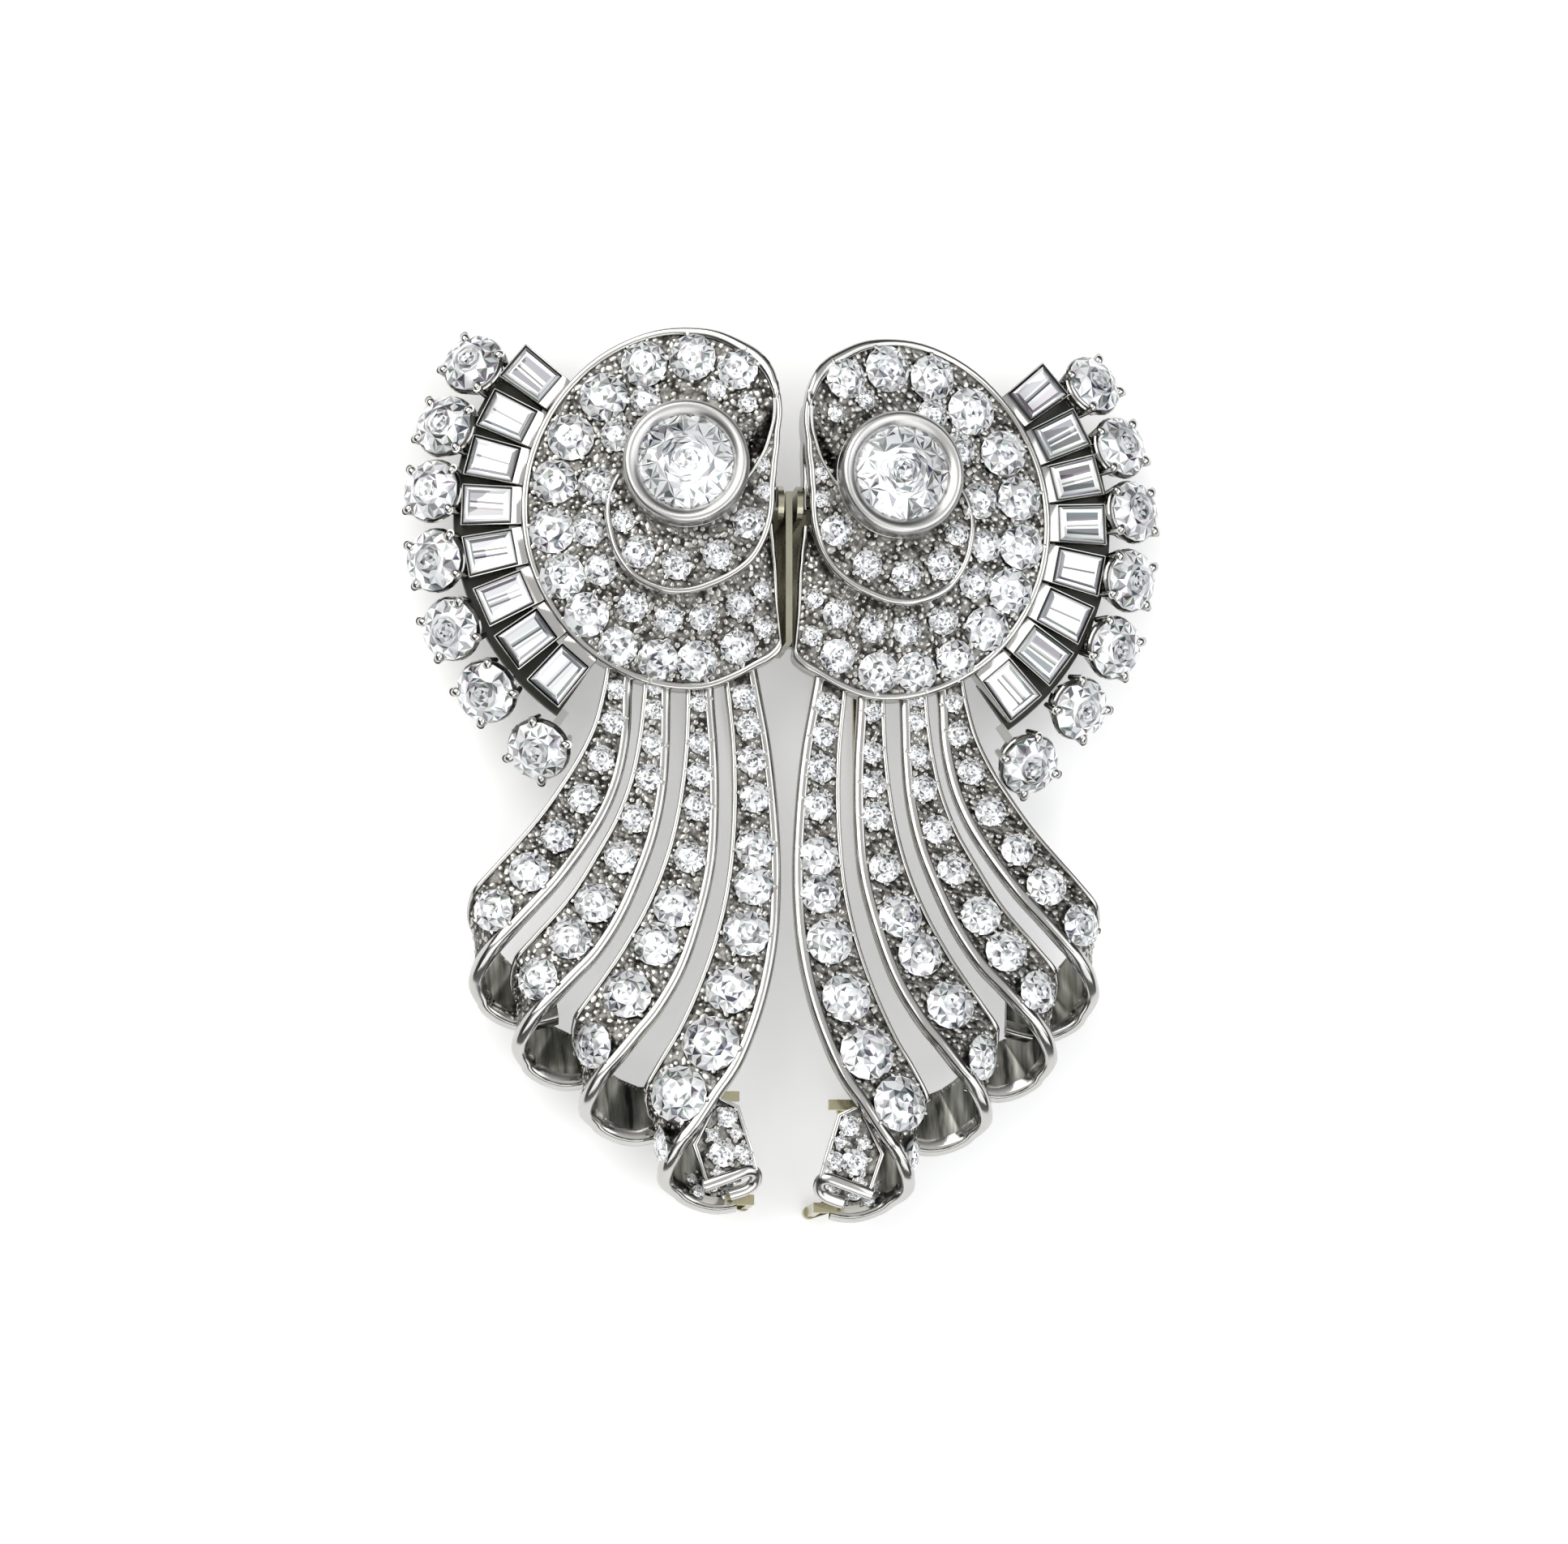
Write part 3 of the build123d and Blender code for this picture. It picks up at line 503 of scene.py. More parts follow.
def seat_stone(bm, shape, matrix, chance, radius, patches):
    """Copy a cut stone into a mesh at its seat, with painted facet lights and patches of painted light
    or shade.
    """
    lights = bm.faces.layers.float.get("painted_facet_light") or bm.faces.layers.float.new("painted_facet_light")
    turn = Matrix.Rotation(chance.random() * math.tau, 4, "Z")
    faces = add_copy(bm, shape, matrix @ turn)
    for patch in range(2):
        way = chance.random() * math.tau
        gain = 0.5 * chance.random() - 0.25
        patches = patches + [(0.55 * math.cos(way), 0.55 * math.sin(way), gain)]
    for face in faces:
        light = painted_facet_light(chance.random())
        offset = (face.calc_center_median() - matrix.translation) / radius
        # Patches of painted light or shade across the stone
        for x, y, gain in patches:
            light += gain * math.exp(-8.0 * ((offset.x - x) ** 2 + (offset.y - y) ** 2))
        face[lights] = max(0.02, min(1.0, light + 0.08 * (chance.random() - 0.5)))


LARGE_RADIUS = 3.44
LARGE_DEPTH = 0.76
large_cut = as_mesh(brilliant(-0.84, 0.12, 7, 2), "large_cut")
# Side, seed of its facets, then x, y and gain of each patch of painted light or shade
for side, seed, patches in (
    ("left", 11, [(-0.4, 0.4, -0.35), (0.1, -0.35, 0.5), (0.3, 0.3, 0.3)]),
    ("right", 29, [(-0.2, 0.1, -0.35), (0.35, 0.4, 0.4), (0.1, -0.6, 0.4)]),
):
    bm = bmesh.new()
    seat = COLLET_PLACE @ Matrix.Translation((0, 0, -LARGE_DEPTH)) @ Matrix.Scale(LARGE_RADIUS, 4)
    seat_stone(bm, large_cut, seat, random.Random(seed), LARGE_RADIUS, patches)
    set_half(bm, side, "large_diamond", [diamond], "diamond", "centre_diamond")


# Boxes of the fan.
# Eight open platinum boxes on the outer side of each head, each made of flat strip with a
# broad polished bar at the head's end. They slope outward and are soldered to the gallery.

BOX = (4.25, 2.8, 1.9)
BAR = 0.76
BOX_WALL = 0.13
BOX_FLOOR = 0.9
BOX_TAPER = 0.065
BOX_TOP = 6.55
BOX_SLOPE = 12.0
# Angle about the head, radius of the inner end
BOXES = [
    (140.5, 12.8),
    (153.5, 12.55),
    (165.8, 12.45),
    (178.2, 12.4),
    (191.0, 12.4),
    (203.8, 12.4),
    (216.2, 12.45),
    (229.2, 12.5),
]


def taper(bm, length):
    """Make a piece of the fan a little narrower at the head's end."""
    for vert in bm.verts:
        vert.co.y *= 1 + BOX_TAPER * vert.co.x / (0.5 * length)


def fan_place(angle, radius, height, slope):
    """Place on a spoke of the head, with X outward and sloping down."""
    turn = math.radians(angle)
    middle = HEAD + Vector((radius * math.cos(turn), radius * math.sin(turn), height))
    return (
        Matrix.Translation(middle) @ Matrix.Rotation(turn, 4, "Z")
        @ Matrix.Rotation(math.radians(slope), 4, "Y")
    )


bm = bmesh.new()
for angle, inner_end in BOXES:
    length, width, height = BOX
    one = bmesh.new()
    bmesh.ops.create_cube(one, size=1)
    bmesh.ops.scale(one, vec=BOX, verts=one.verts)
    bmesh.ops.translate(one, vec=(0, 0, -0.5 * height), verts=one.verts)
    top = max(one.faces, key=lambda face: face.normal.z)
    bmesh.ops.inset_individual(one, faces=[top], thickness=BOX_WALL, depth=0)
    head_side = [vert for vert in top.verts if vert.co.x < 0]
    bmesh.ops.translate(one, vec=(BAR - BOX_WALL, 0, 0), verts=head_side)
    bmesh.ops.inset_individual(one, faces=[top], thickness=0.02, depth=-BOX_FLOOR)
    bmesh.ops.bevel(
        one, geom=one.edges, offset=0.05, affect="EDGES", segments=2, profile=0.5, material=-1
    )
    taper(one, length)
    smooth_all(one)
    bmesh.ops.transform(
        one, matrix=fan_place(angle, inner_end + 0.5 * length, BOX_TOP, BOX_SLOPE), verts=one.verts
    )
    bm.from_mesh(as_mesh(one, "box"))
set_pair(bm, "fan_boxes", [platinum], "platinum")


# Baguettes, one in each box.
# Long step-cut diamonds. Their steps run parallel to the sides, and the light and dark stripes
# that two rows of steps would show through the table are painted on the facets as reflections.

BAGUETTE = (3.26, 2.46, 0.5)
BAGUETTE_SINK = 0.1
# Width and rise of each step
BAGUETTE_STEPS = [(0.1, 0.12), (0.13, 0.06), (0.1, 0.03), (0.14, -0.03), (0.16, -0.03)]
BAGUETTE_LINES = (-0.34, -0.2, -0.06, 0.08, 0.22, 0.36)
STRIPE_WIDTH = 0.14
# Painted reflected light of each stripe, in turn across the stone
PAINTED_STRIPE_LIGHTS = (0.95, 0.3, 1.0, 0.55, 0.12, 1.0, 0.8, 0.22, 0.9)


def step_cut():
    """Step-cut stone whose table is split into long stripes."""
    bm = bmesh.new()
    bmesh.ops.create_cube(bm, size=1)
    bmesh.ops.scale(bm, vec=BAGUETTE, verts=bm.verts)
    bmesh.ops.translate(bm, vec=(0, 0, -0.5 * BAGUETTE[2]), verts=bm.verts)
    top = max(bm.faces, key=lambda face: face.normal.z)
    for thickness, depth in BAGUETTE_STEPS:
        bmesh.ops.inset_individual(bm, faces=[top], thickness=thickness, depth=depth)
    for line in BAGUETTE_LINES:
        strips = [face for face in bm.faces if face.normal.z > 0.99]
        edges = list({edge for face in strips for edge in face.edges})
        bmesh.ops.bisect_plane(bm, geom=strips + edges, plane_co=(0, line, 0), plane_no=(0.06, 1, 0))
    taper(bm, BAGUETTE[0])
    bmesh.ops.recalc_face_normals(bm, faces=bm.faces)
    return bm


baguette_cut = as_mesh(step_cut(), "baguette_cut")
for side, seed in (("left", 3), ("right", 5)):
    chance = random.Random(seed)
    for number, (angle, inner_end) in enumerate(BOXES, 1):
        bm = bmesh.new()
        lights = bm.faces.layers.float.new("painted_facet_light")
        bm.from_mesh(baguette_cut)
        first = chance.randrange(len(PAINTED_STRIPE_LIGHTS))
        # Each stripe of faces painted with its own reflected light
        for face in bm.faces:
            stripe = math.floor(face.calc_center_median().y / STRIPE_WIDTH)
            light = PAINTED_STRIPE_LIGHTS[(first + stripe) % len(PAINTED_STRIPE_LIGHTS)] + 0.25 * (chance.random() - 0.5)
            face[lights] = min(1.0, max(0.03, light))
        shift = Matrix.Translation((0.5 * (BAR - BOX_WALL), 0, -BAGUETTE_SINK))
        matrix = fan_place(angle, inner_end + 0.5 * BOX[0], BOX_TOP, BOX_SLOPE)
        bmesh.ops.transform(bm, matrix=matrix @ shift, verts=bm.verts)
        set_half(bm, side, "baguette_cut_%d" % number, [diamond], "diamond", "baguette_%d" % number)


# Baskets of the outer stones.
# Seven tapered platinum cups on each clip with four claws each, whose tips are pushed over
# the girdle and filed round. A gallery plate behind the boxes joins them.

# Angle about the head, radius of the stone's middle
ROUNDS = [
    (146.4, 19.1),
    (161.0, 18.85),
    (175.3, 18.75),
    (190.4, 18.75),
    (205.4, 19.15),
    (220.3, 19.45),
    (236.0, 20.0),
]
ROUND_RADIUS = 2.12
ROUND_HEIGHT = 5.8
ROUND_LEAN = 34.0
CLAW_TURNS = (40, 140, 220, 320)
CLAW_GAP = 0.1
CLAW_LEAN = 10.0
CUP_PROFILE = [
    (1.05, -2.3), (1.36, -2.3), (1.42, -2.1), (1.38, -1.98), (1.78, -1.35), (1.86, -1.28),
    (1.84, -1.16), (2.2, -0.55), (2.27, -0.42), (2.2, -0.3), (1.9, -0.42),
]
CUP_REACH = 1.7
BAR_START = 16.4
# First angle, end and step; radius and height about the head's axis
GALLERY_ANGLES = (136, 238, 3)
GALLERY_PROFILE = [(13.2, 4.3), (17.0, 4.25), (17.05, 4.6), (17.0, 4.9), (13.2, 5.0)]

bm = bmesh.new()
for angle, radius in ROUNDS:
    place = fan_place(angle, radius, ROUND_HEIGHT, ROUND_LEAN)
    start = len(bm.verts)
    spun(bm, CUP_PROFILE, 28, 0)
    for turn in CLAW_TURNS:
        around = Matrix.Rotation(math.radians(turn), 4, "Z")
        swing = around @ Matrix.Translation((ROUND_RADIUS + CLAW_GAP, 0, 0))
        lean = Matrix.Rotation(math.radians(CLAW_LEAN), 4, "Y")
        stem = swing @ (Matrix.Translation((-0.06, 0, -0.65)) @ lean)
        bmesh.ops.create_cone(
            bm, cap_ends=True, segments=12, radius1=0.2, radius2=0.3, depth=1.7, matrix=stem
        )
        tip = swing @ Matrix.Translation((-0.14, 0, 0.14)) @ Matrix.Diagonal((1.15, 0.95, 0.75, 1))
        bmesh.ops.create_icosphere(bm, subdivisions=2, radius=0.36, matrix=tip)
    bm.verts.ensure_lookup_table()
    bmesh.ops.transform(bm, matrix=place, verts=bm.verts[start:])
smooth_all(bm)
# Near-black platinum for the gallery and the bars' ends: painted shade
gallery_painted_shade = polished_metal("platinum_painted_shade", (0.05, 0.05, 0.045, 1.0), 0.3, 0.5, 0.1)
places = [spoke(HEAD, angle) for angle in range(*GALLERY_ANGLES)]
sweep(bm, places, [GALLERY_PROFILE] * len(places), 1)
for angle, radius in ROUNDS:
    length = radius - CUP_REACH - BAR_START
    bar = bmesh.ops.create_cube(bm, size=1)["verts"]
    bmesh.ops.scale(bm, vec=(length, 0.55, 0.6), verts=bar)
    bmesh.ops.transform(bm, matrix=fan_place(angle, BAR_START + 0.5 * length, 4.6, 0), verts=bar)
    for face in bar[0].link_faces:
        face.material_index = 1
set_pair(bm, "baskets", [platinum, gallery_painted_shade], "platinum")


# Claw-set round diamonds along the edge of the fan.
# Seven brilliants on each clip, all of one size, leaning outward in their baskets.

round_cut = as_mesh(brilliant(-0.84, 0.12, 4, 1), "round_cut")
for side, seed in (("left", 41), ("right", 43)):
    chance = random.Random(seed)
    for number, (angle, radius) in enumerate(ROUNDS, 1):
        bm = bmesh.new()
        place = fan_place(angle, radius, ROUND_HEIGHT, ROUND_LEAN)
        seat_stone(bm, round_cut, place @ Matrix.Scale(ROUND_RADIUS, 4), chance, ROUND_RADIUS, [])
        set_half(bm, side, "round_cut_%d" % number, [diamond], "diamond", "round_diamond_%d" % number)


# Ribbons.
# Four platinum ribbons leave each head, widen and roll under at their ends. Each has a
# polished rim along both edges, the inner one thickening to a round wire at the curl.

SHEET = 0.72
OUTER_RIM = 0.34
# The inner rim swells through these degrees of the curl
INNER_RIM = 0.7
RIM_SWELL = 0.2
SWELL_START = 40
SWELL_SPAN = 70
# The sheet's inner edge is lifted by this slope through these degrees
CURL_PITCH = 0.5
PITCH_START = 104
PITCH_SPAN = 60
CURL_RADIUS = 2.4
CURL_STEPS = (28, 46, 64, 82, 100, 116, 132, 148, 166)
# Run past the curl, rise, roll, share of the end's width
CURL_TAIL = [(0.9, 0.15, 180, 0.97), (2.2, 0.1, 184, 0.9), (3.3, 0.0, 186, 0.8)]
# Straight part: x, y, height of the face, roll, width. Curl: x of its axis, y at its top,
# outermost and lowest lines, height of its top, sideways lean per mm, width at the end,
# rows of the tail that it has.
RIBBONS = [
    ([
        (-11.40, 8.20, 6.1, 0, 2.0), (-11.70, 6.00, 6.2, 0, 2.1), (-12.12, 3.17, 6.5, 2, 2.7),
        (-12.95, 0.54, 6.8, 5, 3.4), (-14.09, -1.81, 7.2, 8, 3.9), (-15.54, -4.07, 7.6, 12, 4.1),
        (-17.28, -6.32, 8.0, 16, 4.3), (-18.75, -7.95, 8.1, 22, 4.35),
    ], (-18.96, -8.15, -12.2, -15.5, 8.20, 0.0, 4.4, 3)),
    ([
        (-8.90, 7.60, 6.2, 0, 1.9), (-9.00, 5.20, 6.3, 0, 2.0), (-9.21, 2.19, 6.5, 1, 2.3),
        (-9.63, -0.74, 6.7, 3, 2.7), (-10.47, -3.68, 7.0, 6, 3.2), (-11.71, -6.44, 7.4, 9, 3.7),
        (-13.16, -9.20, 7.8, 12, 4.1), (-14.69, -11.34, 8.1, 16, 4.4), (-15.95, -12.7, 8.15, 22, 4.4),
    ], (-16.02, -12.77, -16.7, -19.6, 8.30, 0.0, 4.4, 3)),
    ([
        (-6.00, 7.60, 6.3, 0, 1.9), (-5.95, 5.20, 6.4, 0, 2.0), (-5.91, 1.59, 6.6, 1, 2.4),
        (-6.13, -2.14, 6.8, 3, 2.9), (-6.67, -5.78, 7.1, 5, 3.5), (-7.71, -9.24, 7.5, 8, 4.0),
        (-9.16, -12.60, 7.9, 12, 4.6), (-10.69, -15.14, 8.2, 16, 4.8), (-11.85, -16.65, 8.25, 22, 4.75),
    ], (-11.93, -16.78, -20.9, -23.3, 8.40, 0.1, 4.6, 3)),
    ([
        (-3.30, 8.30, 6.4, 0, 2.3), (-2.90, 5.60, 6.5, 0, 2.5), (-2.41, 1.99, 6.6, 0, 2.8),
        (-2.17, -2.33, 6.8, 1, 3.2), (-2.25, -6.76, 7.0, 3, 3.7), (-2.79, -11.01, 7.4, 6, 4.3),
        (-3.84, -14.97, 7.8, 10, 4.8), (-5.38, -18.72, 8.2, 15, 5.1), (-6.75, -20.9, 8.3, 21, 5.05),
    ], (-7.13, -21.68, -25.6, -27.9, 8.40, 0.25, 4.7, 2)),
]


def ribbon_table(straight, curl):
    """All rows of a ribbon: the straight part, the curl about its axis and its tail."""
    rows = list(straight)
    axis_x, top_y, side_y, low_y, face_height, lean, end_width, tail_rows = curl
    start_width = rows[-1][4]
    for roll in CURL_STEPS:
        if roll <= 90:
            y = top_y + (side_y - top_y) * roll / 90
        else:
            y = side_y + (low_y - side_y) * (roll - 90) / 90
        turn = math.radians(roll)
        x = axis_x - CURL_RADIUS * math.sin(turn) - lean * (y - top_y)
        z = face_height - CURL_RADIUS * (1 - math.cos(turn))
        width = start_width + (end_width - start_width) * roll / CURL_STEPS[-1]
        rows.append((x, y, z, roll, width))
    for run, drop, roll, share in CURL_TAIL[:tail_rows]:
        x = axis_x + run - lean * (low_y - top_y)
        rows.append((x, low_y - drop, face_height - 2 * CURL_RADIUS, roll, share * end_width))
    return rows


def curl_pitch(roll):
    """How far the sheet's inner edge is lifted, which grows through the curl."""
    share = max(0.0, min(1.0, (roll - PITCH_START) / PITCH_SPAN))
    return CURL_PITCH * share * share * (3 - 2 * share)


def ribbon_places(straight, curl):
    """Middle, direction across, face normal, width and roll at close steps along a ribbon."""
    rows = smooth_rows(ribbon_table(straight, curl), 5)
    points = [Vector(row[:3]) for row in rows]
    result = []
    for index, row in enumerate(rows):
        along = (points[min(index + 1, len(rows) - 1)] - points[max(index - 1, 0)]).normalized()
        roll = math.radians(row[3])
        lift = Vector((-math.sin(roll), -curl_pitch(row[3]), math.cos(roll)))
        normal = (lift - along * lift.dot(along)).normalized()
        result.append((points[index], normal.cross(along), normal, row[4], row[3]))
    return result


def sheet_edge(width, height, depth, corner):
    """Outline of a sheet's polished edge, its outer side at 0 and its corners rounded."""
    small = 0.12
    points = [(-width, -depth)]
    for side, rise, first, reach in (
        (-corner, corner - depth, -90, corner), (-corner, height - corner, 0, corner),
        (small - width, height - small, 90, small),
    ):
        for step in range(4):
            turn = math.radians(first + 30 * step)
            points.append((side + reach * math.cos(turn), rise + reach * math.sin(turn)))
    return points


def shade_painted_inside(name):
    """Inner side of a rolled sheet, painted dark as shade, with painted streaks of reflection along it.
    """
    material, nodes, links, shader = principled(name, (0.2, 0.2, 0.19, 1.0), 1.0, 0.28)
    where = nodes.new("ShaderNodeTexCoord")
    drawn = stretched(nodes, links, where, (0.0, 0.0, 0.0), (1500.0, 110.0, 500.0))
    streaks = noise(nodes, links, drawn, 1.0, 3.0)
    # Near-black painted shade and lighter painted streaks of reflection
    tones = [(0.36, (0.05, 0.05, 0.046, 1.0)), (0.66, (0.5, 0.5, 0.46, 1.0))]
    links.new(colour_ramp(nodes, links, streaks, tones), shader.inputs["Base Color"])
    return material


inside = shade_painted_inside("platinum_inside_painted_shade")
bm = bmesh.new()
ribbon_lines = [ribbon_places(*ribbon) for ribbon in RIBBONS]
for line in ribbon_lines:
    places = [(middle, across, normal) for middle, across, normal, width, roll in line]
    backs = []
    floors = []
    inner_rims = []
    outer_rims = []
    for middle, across, normal, width, roll in line:
        half = 0.5 * width
        swell = max(0.0, min(1.0, (roll - SWELL_START) / SWELL_SPAN))
        edge = half - 0.05
        backs.append([(-edge, -SHEET), (edge, -SHEET), (edge - 0.05, -0.2), (0.05 - edge, -0.2)])
        edge = half - 0.2
        floors.append([(-edge, -0.25), (edge, -0.25), (edge, 0.0), (-edge, 0.0)])
        outer_rims.append([
            (side - half + OUTER_RIM, height) for side, height in rounded_rim(OUTER_RIM, 0.22, SHEET)
        ])
        inner_rims.append([
            (side + half, height)
            for side, height in sheet_edge(INNER_RIM + RIM_SWELL * swell, 0.26, 0.8, 0.34)
        ])
    sweep(bm, places, backs, 2)
    sweep(bm, places, floors, 1)
    sweep(bm, places, inner_rims, 0)
    sweep(bm, places, outer_rims, 0)
set_pair(bm, "ribbons", [platinum, ground, inside], "platinum")


# End leaf of each innermost ribbon.
# A small stone-set leaf folded back beside the curl, with a polished rim on its outer
# side, a lower edge rolled under and a short stem down to the ribbon.

LEAF_BOTTOM = 7.4
LEAF_THICK = 0.8
LEAF_FACE = 0.62
# x, y of the leaf's corners
LEAF = [(-6.6, -25.6), (-4.9, -22.2), (-3.4, -22.9), (-2.5, -25.8), (-2.1, -27.3), (-5.6, -28.4)]
# x, y and height along the band, then its half width and half thickness
LEAF_BAND = [
    (-5.75, -28.35, 7.9), (-4.9, -28.05, 8.0), (-3.8, -27.65, 8.05), (-2.75, -27.3, 8.0),
    (-2.25, -27.5, 7.7), (-2.25, -28.05, 7.2), (-2.8, -28.5, 6.9), (-3.9, -28.85, 6.7),
]
BAND_SIZE = (0.44, 0.36)
BAND_SIDES = 16

bm = bmesh.new()
verts = [bm.verts.new((x, y, LEAF_BOTTOM)) for x, y in LEAF]
plate = bm.faces.new(verts)
if plate.normal.z > 0:
    plate.normal_flip()
lifted = bmesh.ops.extrude_face_region(bm, geom=[plate])["geom"]
lifted = [part for part in lifted if isinstance(part, bmesh.types.BMVert)]
bmesh.ops.translate(bm, vec=(0, 0, LEAF_THICK), verts=lifted)
bmesh.ops.recalc_face_normals(bm, faces=bm.faces)
top = max(bm.faces, key=lambda face: face.calc_center_median().z)
bmesh.ops.inset_individual(bm, faces=[top], thickness=0.3, depth=0)
bmesh.ops.inset_individual(bm, faces=[top], thickness=0.02, depth=-0.2)
top.material_index = 1
bmesh.ops.bevel(
    bm, geom=[edge for edge in bm.edges if edge.calc_face_angle(0) > 1.0], offset=0.08,
    affect="EDGES", segments=2, profile=0.5, material=-1
)
band = [Vector(row) for row in smooth_rows(LEAF_BAND, 6)]
places = []
for index, point in enumerate(band):
    along = (band[min(index + 1, len(band) - 1)] - band[max(index - 1, 0)]).normalized()
    normal = (Vector((0, 0, 1)) - along * along.z).normalized()
    places.append((point, normal.cross(along), normal))
outline = []
for step in range(BAND_SIDES):
    turn = math.tau * step / BAND_SIDES
    outline.append((BAND_SIZE[0] * math.cos(turn), BAND_SIZE[1] * math.sin(turn)))
sweep(bm, places, [outline] * len(places), 0)
stem = bmesh.ops.create_cube(bm, size=1)["verts"]
bmesh.ops.scale(bm, vec=(1.1, 1.0, 4.2), verts=stem)
bmesh.ops.translate(bm, vec=(-4.9, -27.5, 5.6), verts=stem)
smooth_all(bm)
set_pair(bm, "leaf", [platinum, ground], "platinum")


# Small stones and grains of the heads and ribbons.
# Round stones sunk in the pierced metal, painted dark as shade, each held by grains raised with a
# graver.
# The metal left between them is cut into more small bright grains.

# x, y and diameter
OUTER_STONES = [
    (-12.8, 26.3, 3.1), (-10.0, 28.5, 2.95), (-6.7, 28.9, 3.0), (-3.7, 28.0, 2.6),
    (-15.1, 23.4, 3.0), (-16.2, 20.3, 2.85), (-16.3, 16.9, 2.9), (-15.6, 13.7, 2.9),
    (-13.9, 11.1, 2.85), (-11.7, 8.95, 2.5), (-9.0, 8.0, 2.6), (-6.3, 7.9, 2.6),
    (-3.5, 8.9, 2.2), (-10.0, 25.95, 2.0), (-11.9, 23.5, 2.1), (-13.3, 20.0, 2.4),
    (-13.8, 16.9, 2.15), (-13.0, 14.2, 2.05), (-10.8, 11.6, 1.95), (-8.3, 10.8, 1.85),
    (-5.9, 10.9, 1.8), (-3.4, 11.8, 1.85), (-1.8, 12.9, 1.3), (-1.7, 10.3, 1.3),
    (-5.2, 26.6, 1.3), (-3.1, 25.6, 1.2), (-11.9, 24.9, 0.9),
]
INNER_STONES = [
    (-11.6, 17.3, 1.5), (-10.6, 15.1, 2.1), (-7.9, 14.2, 1.9), (-5.2, 14.9, 1.9),
    (-3.0, 17.2, 2.0), (-1.9, 19.4, 1.1), (-2.1, 21.3, 1.0), (-12.6, 19.0, 1.1),
]
RIBBON_STONES = [
    [
        (-12.0, 3.6, 1.6), (-12.9, 1.0, 1.75), (-14.2, -1.9, 2.0), (-15.8, -4.3, 2.15),
        (-17.7, -6.9, 2.6), (-20.1, -9.6, 2.7), (-11.7, 5.9, 1.3),
    ],
    [
        (-9.1, 6.5, 1.2), (-9.1, 4.5, 1.3), (-9.2, 2.3, 1.5), (-9.6, -0.4, 1.75),
        (-10.5, -3.2, 1.9), (-11.6, -6.0, 2.1), (-13.2, -8.9, 2.6), (-15.1, -11.7, 2.7),
        (-17.2, -14.4, 2.7),
    ],
    [
        (-6.0, 6.8, 1.2), (-6.0, 5.0, 1.3), (-6.0, 2.6, 1.45), (-6.0, 0.3, 1.7),
        (-6.2, -2.5, 1.85), (-6.7, -5.6, 2.0), (-7.7, -9.0, 2.75), (-9.2, -12.1, 2.85),
        (-11.1, -15.4, 3.1), (-13.2, -18.8, 2.9),
    ],
    [
        (-2.9, 5.9, 1.65), (-2.6, 3.7, 1.65), (-2.4, 1.1, 1.85), (-2.2, -1.6, 1.95),
        (-2.2, -4.6, 2.5), (-2.3, -7.8, 2.55), (-2.9, -11.2, 2.95), (-4.0, -15.0, 3.15),
        (-5.4, -18.9, 3.55), (-7.6, -22.4, 3.6), (-8.9, -26.0, 2.4),
    ],
]
LEAF_STONES = [
    (-4.55, -26.2, 1.7), (-3.2, -26.1, 1.15), (-4.2, -23.7, 1.3), (-5.2, -24.9, 0.8),
    (-3.6, -24.8, 0.8), (-2.75, -26.9, 0.6), (-4.9, -27.5, 0.6),
]
# Rows back from the ribbon's end, place across it, diameter
HOOK_STONES = [(2, 0.1, 0.9), (3, 1.15, 1.1), (7, 0.4, 1.2), (9, 1.3, 0.9), (12, 0.6, 0.8)]
STONE_GROWTH = 1.1
GRAIN_GAP = 0.42
HEAD_TRIES = 26000
RIBBON_TRIES = 5200
# Nearest to the collet's axis, and to a rim, that a grain may sit
COLLET_CLEAR = 4.4
RIM_CLEAR = 0.06
# Grains end above this line and past this roll
RIBBON_TOP = 6.6
LAST_ROLL = 120
# From a ribbon's face through to its back
HOOK_DEPTH = 0.74


def tilted(point, normal):
    """Place at a point with Z along the normal."""
    lean = Vector((0, 0, 1)).rotation_difference(normal)
    return Matrix.Translation(point) @ lean.to_matrix().to_4x4()


def row_at(rows, angle):
    """Row of a table of falling angles at one angle."""
    for first, second in zip(rows, rows[1:]):
        if second[0] <= angle <= first[0]:
            share = (first[0] - angle) / (first[0] - second[0])
            return [a + share * (b - a) for a, b in zip(first, second)]
    return None


def inner_row(x, y):
    """Distance from the collet's axis, and the inner turn's row in that direction."""
    swing = math.degrees(math.atan2(y - COLLET.y, x - COLLET.x))
    if swing > INNER_TURN[0][0]:
        swing -= 360
    return math.hypot(x - COLLET.x, y - COLLET.y), row_at(inner_rows, swing)


def outer_spot(x, y):
    """Height of the outer turn's face, and how far inside its rim a spot lies."""
    angle = math.degrees(math.atan2(y - HEAD.y, x - HEAD.x))
    if angle > OUTER_TURN[0][0]:
        angle -= 360
    row = row_at(turn_rows, angle)
    if row is None:
        return None
    _, reach, rim, core, width = row
    radius = math.hypot(x - HEAD.x, y - HEAD.y)
    share = (radius - HEAD_BORE) / (reach - 0.6 * width - HEAD_BORE)
    height = core + (rim - 0.35 - core) * share
    collet, inner = inner_row(x, y)
    clear = collet - COLLET_CLEAR if inner is None else collet - inner[1]
    if inner is not None and COLLET_CLEAR < collet < inner[3] - 0.1:
        clear = min(collet - COLLET_CLEAR, inner[3] - 0.1 - collet)
    return height, min(reach - width - radius, clear, radius - HEAD_BORE + 0.1)


